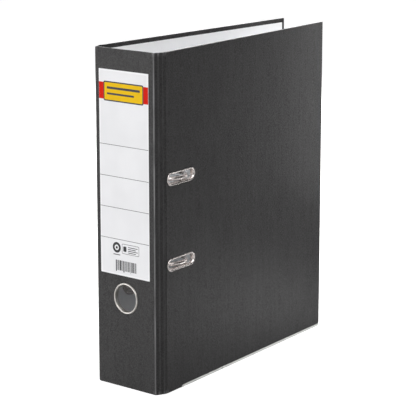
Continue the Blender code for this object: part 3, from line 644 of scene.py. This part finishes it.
def build_rims():
    depth = BOARD + CLEARANCE / 2 + LINING + CLEARANCE
    seam_turn = math.radians(238)
    seam = Vector((math.cos(seam_turn), math.sin(seam_turn))) * RING_HOLE

    def seam_dent(point):
        return 0.35 * hump((point - seam).length, 0.0, 0.0007)

    width = RING_RADIUS - RING_HOLE
    work = sweep_rim(circle(RING_HOLE, 144), rim_section(round_rim(width), width, depth), dent=seam_dent)
    place = Matrix.Translation((RING_X, SPINE_Y, RING_Z)) @ quarter_turn("X")
    finish_as = {"look": RING_FINISH, "place": place, "angle": 60}
    piece("finger_ring_eyelet", work, "spine", "nickel", "finger_ring", **finish_as)
    width = (SLOT_HEIGHT - SLOT_CLEAR[1]) / 2
    section = rim_section(dished_rim(width), width, depth)
    for label, side in SIDES:
        z = MIDDLE_Z + side * ARCH_SPACING / 2 + SLOT_RAISE
        middle = Matrix.Translation((0, SLOT_FROM_CREASE, z))
        place = FRONT_FRAME @ middle @ quarter_turn("Y") @ quarter_turn("Z")
        work = sweep_rim(stadium(*SLOT_CLEAR), section, 0.000004)
        node = label + "_slot_eyelet"
        piece(label + "_slot_rim", work, "front_cover", "nickel", node, place=place, angle=60)


build_rims()


# ---- edge rails


def rail_section():
    """Section of a rail, a folded channel, as (depth behind the cover's face, height) points."""
    lip = RAIL_FLANGE - 0.00012
    outer = [(0.00018, RAIL_FLANGE), (0.00003, lip), (0.0, 0.0021), (0.0, 0.00115), (0.00010, 0.00098)]
    outer += [(0.00010, 0.00084), (0.00001, 0.00068), (0.00004, 0.00042), (0.00018, 0.00018)]
    outer += [(0.00042, 0.00004), (0.00070, 0.0)]
    inner = [(SHEET + 0.00030, SHEET), (SHEET + 0.00008, SHEET + 0.00010), (SHEET, SHEET + 0.0003)]
    inner += [(SHEET, lip), (SHEET - 0.00014, RAIL_FLANGE)]
    mirrored = [[(BOARD - x, z) for x, z in reversed(side)] for side in (outer, inner)]
    return outer + mirrored[0] + mirrored[1] + inner


def build_rails():
    """The rails on the covers' bottom edges, pinched at their ends, most at the one near the spine."""
    pinched, rows, fold = 0.0026, 60, 0.0012
    start, end = RAIL_START, COVER_LENGTH - RAIL_SHORT
    stations = [(start, 0.30), (start + 0.0006, 0.62), (start + 0.0014, 0.84), (start + pinched, 1.0)]
    straight = end - 0.0010 - start - pinched
    stations += [(start + pinched + straight * i / rows, 1.0) for i in range(1, rows + 1)]
    stations += [(end - 0.0003, 0.97), (end, 0.90)]
    for side, name, place in ((-1, "front", FRONT_FRAME), (1, "back", BACK_FRAME)):
        rings = []
        for y, taper in stations:
            wave = 0.00005 * noise.noise(Vector((y * 130, side * 3.0, 0.5)))
            ring = []
            for depth, height in rail_section():
                raised = fold + (height - fold) * taper if height > fold else height
                ring.append((side * (depth + wave * height / RAIL_FLANGE), y, raised))
            rings.append(ring)
        cover, node = name + "_cover", name + "_edge_rail"
        piece(name + "_bottom_rail", loft(rings), cover, "rail", node, place=place, angle=50)


build_rails()


# ---- mechanism


PLATE_X = -HALF_CASE + BOARD + CLEARANCE / 2 + LINING + CLEARANCE
PLATE_TOP_X = PLATE_X + 0.0010
APEX_Y = COVER_Y + ARCH_FROM_CREASE * math.cos(FRONT_LEAN)
APEX_X = HALF_CASE - ARCH_FROM_CREASE * math.sin(FRONT_LEAN)
ARCH_X = PLATE_TOP_X + WIRE_RADIUS + 0.0008
ARCH_Y = APEX_Y - ARCH_RADIUS
POST_Y = APEX_Y + ARCH_RADIUS
ARCH_TOP_X = APEX_X - APEX_SUNK - WIRE_RADIUS - ARCH_RADIUS
CRANK = 0.0180  # how far the arch wire steps aside between its two bearings
LEVER_Y = ARCH_Y + CRANK
LEVER_PIN_Z = MIDDLE_Z + 0.0270
LEVER_HALF = 0.0060
EAR = 0.0012  # thickness of the bearing ears and of the lever's sheet
ROLLER_RADIUS = 0.0035
ROLLER_ARM = 0.0100
ROLLER_TURN = math.radians(25)
ROLLER_X = ARCH_X + WIRE_RADIUS + CLEARANCE + ROLLER_RADIUS
LEVER_PIN_X = ROLLER_X + ROLLER_ARM * math.sin(ROLLER_TURN)
ROLLER_Z = LEVER_PIN_Z - ROLLER_ARM * math.cos(ROLLER_TURN)
PLATE_FORE_Y = POST_Y + 0.0095
PLATE_SPINE_Y = ARCH_Y - 0.0058
PLATE_HALF = 0.0856
TONGUE = 0.0307  # width of the plate's ends, on its fore side
SHOULDER = 0.0540  # half height of the plate on its spine side


def standing(a, b, height):
    """A point over the base plate: a across (Y), b up the case (Z), height off the plate (X)."""
    return (height, a, b)


def bend(corner, before, after, radius, steps=8):
    """Points that turn a line's corner on an arc."""
    way_in = (corner - before).normalized()
    way_out = (after - corner).normalized()
    half = way_in.angle(way_out) / 2
    start = corner - way_in * radius * math.tan(half)
    center = start + (way_out - way_in * way_in.dot(way_out)).normalized() * radius
    spoke = start - center
    points = []
    for i in range(steps + 1):
        angle = 2 * half * i / steps
        points.append(center + spoke * math.cos(angle) + way_in * radius * math.sin(angle))
    return points


def rounded_polygon(corners, steps=8):
    """Outline through (a, b, radius) corners, each turned on its own radius."""
    places = [Vector((a, b)) for a, b, _ in corners]
    points = []
    for i, (_, _, radius) in enumerate(corners):
        points += bend(places[i], places[i - 1], places[(i + 1) % len(places)], radius, steps)
    return points


def lathe(profile, steps=32):
    """Turns (radius, height) points about Z; the first and last rings are closed with flat caps."""
    return loft([[(x, y, height) for x, y in circle(radius, steps)] for radius, height in profile])


def revolve(section, steps, swap):
    """Turns a closed section of (radius, height) points; swap puts (x, y, height) in the scene."""
    rings = []
    for k in range(steps):
        angle = math.tau * k / steps
        rings.append([swap(r * math.cos(angle), r * math.sin(angle), height) for r, height in section])
    return loft(rings, closed=True)


def tube_along(points, radius, sides, tip):
    """A round wire along 3D points, with rounded ends that reach as far as tip."""
    last = len(points) - 1
    tangents = [(points[min(i + 1, last)] - points[max(i - 1, 0)]).normalized() for i in range(last + 1)]
    side = tangents[0].orthogonal().normalized()
    spokes = [(math.cos(math.tau * k / sides), math.sin(math.tau * k / sides)) for k in range(sides)]
    cone = ((0.35, tip), (0.80, tip * 0.35), (0.96, 0.0001))
    rings = []
    for i, (point, along) in enumerate(zip(points, tangents)):
        side = (side - along * side.dot(along)).normalized()
        up = along.cross(side)
        stack = [(1.0, 0.0)]
        if i == 0:
            stack = [(share, -reach) for share, reach in cone] + stack
        if i == last:
            stack = stack + list(reversed(cone))
        for share, shift in stack:
            r = radius * share
            rings.append([point + along * shift + side * (x * r) + up * (y * r) for x, y in spokes])
    return loft(rings)


def carve(made, cutter, angle=35):
    """Cuts a helper out of a finished mesh and removes the helper."""
    change = made.modifiers.new("carve", "BOOLEAN")
    change.operation = "DIFFERENCE"
    change.solver = "EXACT"
    change.object = cutter
    graph = bpy.context.evaluated_depsgraph_get()
    cut = bpy.data.meshes.new_from_object(made.evaluated_get(graph))
    made.modifiers.clear()
    old = made.data
    made.data = cut
    bpy.data.meshes.remove(old)
    bpy.data.objects.remove(cutter, do_unlink=True)
    made.data.shade_smooth()
    made.data.set_sharp_from_angle(angle=math.radians(angle))


def rod(start, end, radius, sides=24):
    start, end = Vector(start), Vector(end)
    turn = (end - start).to_track_quat("Z", "Y").to_matrix().to_4x4()
    straight = lathe([(radius, 0.0), (radius, (end - start).length)], sides)
    return finish("helper_rod", straight, place=Matrix.Translation(start) @ turn)


def plate_outline():
    tongue = PLATE_FORE_Y - TONGUE
    upper = [(PLATE_FORE_Y, PLATE_HALF, 0.0130), (tongue, PLATE_HALF, 0.0130)]
    upper += [(tongue, 0.0660, 0.0060), (PLATE_SPINE_Y, SHOULDER, 0.0060)]
    lower = [(y, -z, radius) for y, z, radius in reversed(upper)]
    return [(p.x, p.y + MIDDLE_Z) for p in rounded_polygon(upper + lower)]


def rivet_places():
    tongue = (PLATE_FORE_Y - TONGUE / 2, PLATE_HALF - 0.0105)
    corner = (PLATE_SPINE_Y + 0.0080, SHOULDER - 0.0050)
    return [(y, MIDDLE_Z + side * z) for _, side in SIDES for y, z in (tongue, corner)]


def ear(work, place, crown, foot, bore):
    """An upright sheet ear round a bore: round crown, straight sides, foot sunk in the plate.

    In its own frame X points up off the plate and Z is the axis of the bore.
    """
    half, soft, steps = EAR / 2, 0.00018, 48
    rings = []
    for k in range(steps):
        angle = math.tau * (k + 0.5) / steps
        c, s = math.cos(angle), math.sin(angle)
        reach = crown if c >= 0 else min(crown / max(abs(s), 1e-6), foot / max(abs(c), 1e-6))
        ring = []
        edges = (bore, bore + soft, reach - soft, reach)
        for edge, side in ((0, -1), (0, 1), (1, 1), (2, 1), (3, 1), (3, -1), (2, -1), (1, -1)):
            height = side * (half - soft if edge in (0, 3) else half)
            ring.append(place @ Vector((c * edges[edge], s * edges[edge], height)))
        rings.append(ring)
    loft(rings, True, work)


def build_plate():
    levels = [(PLATE_X, 0.0), (PLATE_X + 0.00025, 0.0)]
    levels += [(PLATE_TOP_X - 0.00022, 0.0016), (PLATE_TOP_X, 0.0021)]
    plate = finish("mechanism_plate", slab(plate_outline(), levels, standing), PLATE_PAINTED_SHADE, angle=22)
    for y, z in rivet_places():
        carve(plate, rod((PLATE_X - 0.003, y, z), (PLATE_TOP_X + 0.003, y, z), 0.0023), 50)
    onto(plate, "back_cover", "nickel", "base_plate")
    beads = bmesh.new()
    levels = [(-0.0003, 0.0), (0.0, 0.0), (0.0003, 0.0003), (0.00048, 0.0010)]
    levels = [(PLATE_TOP_X + rise, inset) for rise, inset in levels]
    for y, width in ((-0.0970, 0.0042), (-0.0795, 0.0034)):
        outline = [(y - a, MIDDLE_Z + b) for b, a in stadium(0.074, width, 12)]
        slab(outline, levels, standing, work=beads)
    piece("plate_beads", beads, "back_cover", "nickel", look=PLATE_PAINTED_SHADE, angle=50)
    ears = bmesh.new()
    for _, side in SIDES:
        z = MIDDLE_Z + side * (ARCH_SPACING / 2 - 0.0103)
        place = Matrix.Translation((ARCH_X, ARCH_Y, z))
        ear(ears, place, 0.0044, ARCH_X - PLATE_X - 0.0003, WIRE_RADIUS + 0.00015)
        y = LEVER_Y + side * (LEVER_HALF + EAR + 0.0006)
        place = Matrix.Translation((LEVER_PIN_X, y, LEVER_PIN_Z)) @ quarter_turn("X")
        ear(ears, place, 0.0040, LEVER_PIN_X - PLATE_X - 0.0003, 0.00215)
    piece("plate_ears", ears, "back_cover", "nickel", look=PLATE_PAINTED_SHADE)


def build_rivets():
    outer, inner = -HALF_CASE - CLEARANCE / 2, PLATE_TOP_X + CLEARANCE / 2
    length = inner - outer
    outer_head = [(0.0006, -0.00098), (0.0016, -0.00092), (0.0028, -0.00065), (0.0037, -0.00022)]
    shank = [(0.0040, 0.0), (0.0020, 0.00002), (0.0020, length - 0.00002)]
    rolled = [(0.0034, 0.0), (0.0035, 0.0002), (0.0031, 0.00062), (0.0022, 0.00095)]
    rolled += [(0.0015, 0.00100), (0.0011, 0.00070), (0.0005, 0.00062)]
    profile = outer_head + shank + [(radius, length + rise) for radius, rise in rolled]
    for number, (y, z) in enumerate(rivet_places(), 1):
        place = Matrix.Translation((outer, y, z)) @ quarter_turn("Y")
        node = f"plate_rivet_{number}"
        piece(f"rivet_{number}", lathe(profile), "back_cover", "nickel", node, place=place)


def build_posts():
    base = PLATE_TOP_X + CLEARANCE / 2
    length = ARCH_TOP_X - CLEARANCE - base
    profile = [(0.0048, 0.0), (0.0048, 0.0007), (0.0045, 0.0010), (0.0034, 0.0013), (0.0027, 0.0018)]
    profile += [(0.00225, 0.0026), (0.00225, length - 0.0005), (0.00212, length - 0.00015)]
    profile += [(0.00190, length), (0.00165, length), (0.00148, length - 0.0002)]
    profile += [(0.00140, length - 0.0006), (0.00140, length - 0.0050)]
    for label, side in SIDES:
        tube = lathe(profile, 36)
        place = Matrix.Translation((base, POST_Y, MIDDLE_Z + side * ARCH_SPACING / 2)) @ quarter_turn("Y")
        piece(label + "_tube_post", tube, "back_cover", "nickel", label + "_post", place=place)


def build_arches():
    """Both arches in one wire, with a crank between them that the lever's roller pushes."""
    top, bottom = MIDDLE_Z + ARCH_SPACING / 2, MIDDLE_Z - ARCH_SPACING / 2
    crank_top, crank_bottom = MIDDLE_Z + 0.0200, MIDDLE_Z - 0.0200
    half_circle = arc((ARCH_TOP_X, APEX_Y), ARCH_RADIUS, 90, -90, 48)
    upper = [Vector((x, y, top)) for x, y in half_circle]
    lower = [Vector((x, y, bottom)) for x, y in reversed(half_circle)]
    foot, knee = 0.0040, 0.0030
    corners = [(ARCH_Y, top, foot), (ARCH_Y, crank_top, knee), (LEVER_Y, crank_top, knee)]
    corners += [(LEVER_Y, crank_bottom, knee), (ARCH_Y, crank_bottom, knee), (ARCH_Y, bottom, foot)]
    route = [upper[-1]] + [Vector((ARCH_X, y, z)) for y, z, _ in corners] + [lower[0]]
    points = list(upper)
    for i, (_, _, radius) in enumerate(corners, 1):
        points += bend(route[i], route[i - 1], route[i + 1], radius, 10)
    wire = tube_along(points + lower, WIRE_RADIUS, 24, 0.0009)
    piece("arch_rod", wire, "arches", "nickel", "arch_wire", angle=50)


def lever_section(top, foot):
    """Closed section of the lever's channel at one station, as (height, across) points."""
    half, curl = LEVER_HALF, 0.0011
    turns = [(math.sin(t), math.cos(t)) for t in (0.4, 0.8, 1.2)]
    outer = [(foot, -half), (top - curl, -half)]
    outer += [(top - curl + curl * s, -half + curl - curl * c) for s, c in turns]
    outer += [(top, -half + curl), (top, half - curl)]
    outer += [(top - curl + curl * s, half - curl + curl * c) for s, c in reversed(turns)]
    outer += [(top - curl, half), (foot, half)]
    wall, roof = half - EAR, top - EAR
    return outer + [(foot, wall), (roof, wall), (roof, -wall), (foot, -wall)]


def build_lever():
    # (height along the lever from its pin, back of the channel, edge of its sides)
    stations = [
        (0.0037, 0.0020, -0.0018), (0.0033, 0.0028, -0.0026), (0.0024, 0.0036, -0.0034),
        (0.0010, 0.0041, -0.0041), (-0.0010, 0.0042, -0.0044), (-0.0040, 0.0042, -0.0056),
        (-0.0065, 0.0042, -0.0066), (-0.0091, 0.0042, -0.0070), (-0.0115, 0.0042, -0.0064),
        (-0.0145, 0.0042, -0.0042), (-0.0175, 0.0042, -0.0020), (-0.0210, 0.0042, -0.0010),
        (-0.0300, 0.0042, -0.0009), (-0.0400, 0.0042, -0.0009), (-0.0500, 0.0042, -0.0008),
        (-0.0595, 0.0042, -0.0006), (-0.0610, 0.0040, 0.0004),
    ]
    pivot = Vector((LEVER_PIN_X, LEVER_Y, LEVER_PIN_Z))
    axle = Vector((ROLLER_X, LEVER_Y, ROLLER_Z))
    place = Matrix.Translation(pivot)
    channel = loft([[(x, y, z) for x, y in lever_section(top, foot)] for z, top, foot in stations])
    arm = finish("lever_channel", channel, LOOKS["nickel"], place, 40)
    across = Vector((0, 0.010, 0))
    carve(arm, rod(pivot - across, pivot + across, 0.00215))
    carve(arm, rod(axle - across, axle + across, 0.00135, 20))
    onto(arm, "lever", "nickel", "lever_arm")
    build_grip(place)
    build_lever_pins(pivot, axle)


def build_grip(place):
    """The moulded finger grip: swelling sides, a waist and cross ribs on its back."""
    start, end, steps = -0.0630, -0.0370, 84
    rings = []
    for i in range(steps + 1):
        share = i / steps
        from_end = min(1.0, min(share, 1 - share) * 12)
        round_end = math.sqrt(max(0.0, 1 - (1 - from_end) ** 2))
        swell = 0.0004 * math.sin(math.pi * share)
        rib = 0.00028 * max(0.0, math.sin(share * math.tau * 8)) if 0.22 < share < 0.90 else 0.0
        half = (0.0072 + swell) * (0.90 + 0.10 * round_end)
        high = 0.0057 + rib - 0.0010 * (1 - round_end)
        low = -0.0026 + 0.0008 * (1 - round_end)
        z = start + (end - start) * share
        rings.append([(x, y, z) for x, y in rounded_outline((low, -half), (high, half), 0.0021)])
    piece("lever_finger_grip", loft(rings), "lever", "black_plastic", "lever_grip", place=place, angle=40)


def build_lever_pins(pivot, axle):
    at_pivot = Matrix.Translation(pivot) @ quarter_turn("X")
    at_axle = Matrix.Translation(axle) @ quarter_turn("X")
    reach = LEVER_HALF + 2 * EAR + CLEARANCE
    head = [(0.0010, 0.00098), (0.0022, 0.00085), (0.0028, 0.00055), (0.0030, 0.0002), (0.0030, 0.0)]
    profile = [(r, -reach - h) for r, h in head] + [(0.0020, -reach + 0.00002), (0.0020, reach - 0.00002)]
    profile += [(r, reach + h) for r, h in reversed(head)]
    piece("lever_pivot_pin", lathe(profile), "back_cover", "nickel", "lever_pin", place=at_pivot)
    half, chamfer = 0.0066, 0.0003
    profile = [(0.0007, -half), (0.0012, -half + chamfer), (0.0012, half - chamfer), (0.0007, half)]
    piece("roller_axle", lathe(profile, 24), "lever", "nickel", "roller_pin", place=at_axle)
    tread = [(0.0020, 0.0044), (0.0031, 0.0044), (0.0035, 0.0040), (0.0035, 0.0016), (0.00335, 0.0008)]
    wheel = [(r, -h) for r, h in tread] + [(0.0033, 0.0)] + list(reversed(tread))
    wheel += [(0.00135, 0.0040), (0.00135, -0.0040)]
    roller = revolve(wheel, 40, lambda *point: point)
    piece("cam_roller", roller, "roller", "black_plastic", "lever_roller", place=at_axle)


def build_spring():
    """A leaf riveted flat to the plate that rises to bear on the lever's heel."""
    foot = PLATE_TOP_X + CLEARANCE / 2
    heel = LEVER_PIN_X - 0.0042 - CLEARANCE
    line = [(foot, 0.0250), (foot, 0.0155), (foot + 0.0003, 0.0142), (foot + 0.0012, 0.0125)]
    line += [(heel - 0.0012, 0.0040), (heel - 0.0007, 0.0024), (heel - 0.0005, 0.0008)]
    line += [(heel - 0.0007, -0.0012), (heel - 0.0014, -0.0026)]
    last, leaf, soft = len(line) - 1, 0.0005, 0.0001
    rings = []
    for i, (x, z) in enumerate(line):
        before, after = line[max(i - 1, 0)], line[min(i + 1, last)]
        along = Vector((after[0] - before[0], after[1] - before[1])).normalized()
        out = Vector((-along.y, along.x))
        out = out if out.x > 0 else -out
        half = 0.0035 - (0.0006 if i in (0, last) else 0.0)
        z += LEVER_PIN_Z
        section = ((0.0, -half), (leaf, -half + soft), (leaf, half - soft), (0.0, half))
        rings.append([(x + out.x * lift, LEVER_Y + y, z + out.y * lift) for lift, y in section])
    piece("lever_leaf_spring", loft(rings), "back_cover", "spring", "lever_spring", angle=25)


def build_compressor():
    lips, top = PLATE_TOP_X + 0.0040, PLATE_TOP_X + 0.0074
    half, tall = 0.0075, 0.0520
    low, high = (POST_Y - half, MIDDLE_Z - tall), (POST_Y + half, MIDDLE_Z + tall)
    outline = rounded_outline(low, high, 0.0040, 8)
    levels = [(top - 0.0010, 0.0012), (lips + 0.0001, 0.0010), (lips, 0.0008), (lips, 0.0002)]
    levels += [(lips + 0.0002, 0.0), (top - 0.0011, 0.0), (top - 0.0007, 0.0001), (top - 0.0003, 0.0004)]
    levels += [(top - 0.0001, 0.0008), (top, 0.0013)]
    plate = finish("compressor_plate", slab(outline, levels, standing), LOOKS["nickel"], angle=50)
    for _, side in SIDES:
        z = MIDDLE_Z + side * ARCH_SPACING / 2
        carve(plate, rod((lips - 0.002, POST_Y, z), (top + 0.002, POST_Y, z), 0.0045))
    onto(plate, "compressor", "nickel", "compressor_bar")
    beads = bmesh.new()
    levels = [(top - 0.0003, 0.0), (top, 0.0), (top + 0.0003, 0.0004), (top + 0.0004, 0.0011)]
    for _, side in SIDES:
        outline = [(POST_Y + a, MIDDLE_Z + side * 0.0260 + b) for b, a in stadium(0.016, 0.0044, 10)]
        slab(outline, levels, standing, work=beads)
    piece("compressor_beads", beads, "compressor", "nickel", angle=50)
    build_bushes(top - 0.0010 - CLEARANCE, top + CLEARANCE)
    build_latch(top + CLEARANCE)


def build_bushes(low, high):
    """The plastic bushes that guide the bar on its posts, flanged under and over it."""
    hole, neck, flange = 0.0024, 0.0042, 0.0056
    section = [
        (hole, low - 0.0008), (hole + 0.0002, low - 0.0010), (0.0054, low - 0.0010),
        (flange, low - 0.0008), (flange, low), (neck, low), (neck, high), (flange, high),
        (flange, high + 0.0006), (0.0052, high + 0.0010), (0.0036, high + 0.0012),
        (hole + 0.0003, high + 0.0010), (hole, high + 0.0007),
    ]
    for label, side in SIDES:
        bush = revolve(section, 48, standing)
        place = Matrix.Translation((0, POST_Y, MIDDLE_Z + side * ARCH_SPACING / 2))
        node = label + "_compressor_bush"
        piece(label + "_guide_bush", bush, "compressor", "black_plastic", node, place=place)


def build_latch(foot):
    """The moulded thumb tab that locks the compressor on its posts."""
    # (height, place along the bar, half width) round the tab's side
    line = [
        (0.0, 0.0120, 0.0042), (0.0009, 0.0118, 0.0048), (0.0011, 0.0080, 0.0050),
        (0.0011, -0.0085, 0.0050), (0.0014, -0.0100, 0.0050), (0.0026, -0.0114, 0.0050),
        (0.0060, -0.0133, 0.0047), (0.0065, -0.0136, 0.0040), (0.0061, -0.0141, 0.0040),
        (0.0040, -0.0132, 0.0049), (0.0012, -0.0122, 0.0050), (0.0, -0.0116, 0.0048),
    ]
    faces = [[(foot + x, POST_Y + side * half, MIDDLE_Z + z) for x, z, half in line] for side in (-1, 1)]
    tab = finish("compressor_thumb_latch", loft(faces), LOOKS["black_plastic"], angle=30)
    soften = tab.modifiers.new("rounded_edges", "BEVEL")
    soften.width, soften.segments, soften.limit_method = 0.0003, 2, "ANGLE"
    onto(tab, "compressor", "black_plastic", "compressor_latch")


build_plate()
build_rivets()
build_posts()
build_arches()
build_lever()
build_spring()
build_compressor()


# ---- studio


FLOOR_GLOW = 0.75
FLOOR_BOUNCE = 0.60
WALL_GLOW = 0.97
WORLD = 0.08
# The brighter side of the surroundings: direction, cosines where it starts and is full, strength
LOBE = ((-0.55, -0.83, 0.10), -0.1, 0.8, 0.60)
# (name, place, target, size, power)
LIGHTS = [
    ("front_light", (-0.30, -1.80, 0.50), (0.0, -0.10, 0.16), (1.60, 0.90), 4.4),
    ("left_light", (-1.10, -1.40, 0.25), (0.0, -0.10, 0.16), (1.60, 0.48), 11.8),
    ("top_light", (0.90, -0.50, 1.25), (0.0, 0.0, 0.28), (1.10, 1.10), 13.0),
    ("inside_light", (0.05, 0.05, 0.90), (0.0, 0.0, 0.30), (0.30, 0.60), 2.1),
    ("edge_light", (0.055, 0.215, 0.24), (0.01, 0.10, 0.22), (0.02, 0.25), 0.092),
    ("floor_light", (0.14, 0.14, 0.010), (0.03, 0.06, 0.03), (0.20, 0.02), 0.080),
    ("back_light", (-1.00, 1.20, 0.80), (0.0, 0.0, 0.16), (0.90, 0.90), 22.0),
]


def area_light(name, place, target, size, power):
    data = bpy.data.lights.new(name, "AREA")
    data.shape = "RECTANGLE"
    data.size, data.size_y = size
    data.energy = power
    lamp = bpy.data.objects.new(name, data)
    bpy.context.scene.collection.objects.link(lamp)
    lamp.location = place
    lamp.rotation_euler = (Vector(target) - Vector(place)).to_track_quat("-Z", "Y").to_euler()
    lamp.visible_camera = False


def staging(name, work, height, color, glow):
    """Turns a bmesh into a plain studio surface."""
    look = Look(name, 0.9, specular=0.1)
    look.shader.inputs["Base Color"].default_value = (color, color, color, 1.0)
    look.shader.inputs["Emission Color"].default_value = (1.0, 1.0, 1.0, 1.0)
    look.shader.inputs["Emission Strength"].default_value = glow
    made = finish(name, work, look.material, Matrix.Translation((0, 0, height)))
    return made


def plane(name, height, color, glow):
    work = bmesh.new()
    bmesh.ops.create_grid(work, x_segments=2, y_segments=2, size=14.0)
    return staging(name, work, height, color, glow)


def wall(name, radius, height, color, glow):
    """A round studio wall, so that a low view shows no horizon."""
    work = bmesh.new()
    steps = 96
    angles = [k * math.tau / steps for k in range(steps)]
    low, high = (
        [work.verts.new((radius * math.cos(angle), radius * math.sin(angle), z)) for angle in angles]
        for z in (0.0, height)
    )
    for k in range(steps):
        after = (k + 1) % steps
        work.faces.new((low[k], low[after], high[after], high[k]))
    return staging(name, work, 0.0, color, glow)


def only_seen(surface):
    """Keeps a studio surface out of every reflection, bounce and shadow."""
    surface.visible_diffuse = False
    surface.visible_glossy = False
    surface.visible_shadow = False


def build_floor():
    """A pale floor and wall that only the camera sees, and the plain floor that lights the object."""
    only_seen(plane("studio_floor", -0.0001, 0.88, FLOOR_GLOW))
    only_seen(wall("studio_wall", 8.0, 7.0, 0.30, WALL_GLOW))
    bounce = plane("studio_floor_bounce", -0.0004, FLOOR_BOUNCE, 0.0)
    bounce.visible_camera = False


def build_camera():
    yaw, pitch = math.radians(39.827), math.radians(12.611)
    data = bpy.data.cameras.new("camera")
    data.sensor_width = 36.0
    data.lens = 158.4
    data.clip_end = 60.0
    camera = bpy.data.objects.new("camera", data)
    bpy.context.scene.collection.objects.link(camera)
    camera.location = (1.1021, -1.3457, 0.5375)
    camera.rotation_euler = (math.pi / 2 - pitch, 0.0, yaw)
    bpy.context.scene.camera = camera


def build_world():
    """Soft surroundings, brighter towards one side."""
    world = bpy.data.worlds.new("studio")
    bpy.context.scene.world = world
    world.use_nodes = True
    tree = world.node_tree
    toward, low, high, strength = LOBE
    direction = add_node(tree, "TexCoord").outputs["Generated"]
    values = {0: direction, 1: Vector(toward).normalized()}
    facing = add_node(tree, "VectorMath", values, operation="DOT_PRODUCT").outputs["Value"]
    values = {"Value": facing, "From Min": low, "From Max": high, "To Max": strength}
    lobe = add_node(tree, "MapRange", values, interpolation_type="SMOOTHSTEP").outputs["Result"]
    total = add_node(tree, "Math", {0: lobe, 1: WORLD}, operation="ADD").outputs["Value"]
    backdrop = tree.nodes["Background"]
    backdrop.inputs["Color"].default_value = (1.0, 1.0, 1.0, 1.0)
    tree.links.new(total, backdrop.inputs["Strength"])


build_floor()
build_camera()
build_world()
for lamp in LIGHTS:
    area_light(*lamp)
bpy.context.scene.view_settings.view_transform = "Standard"
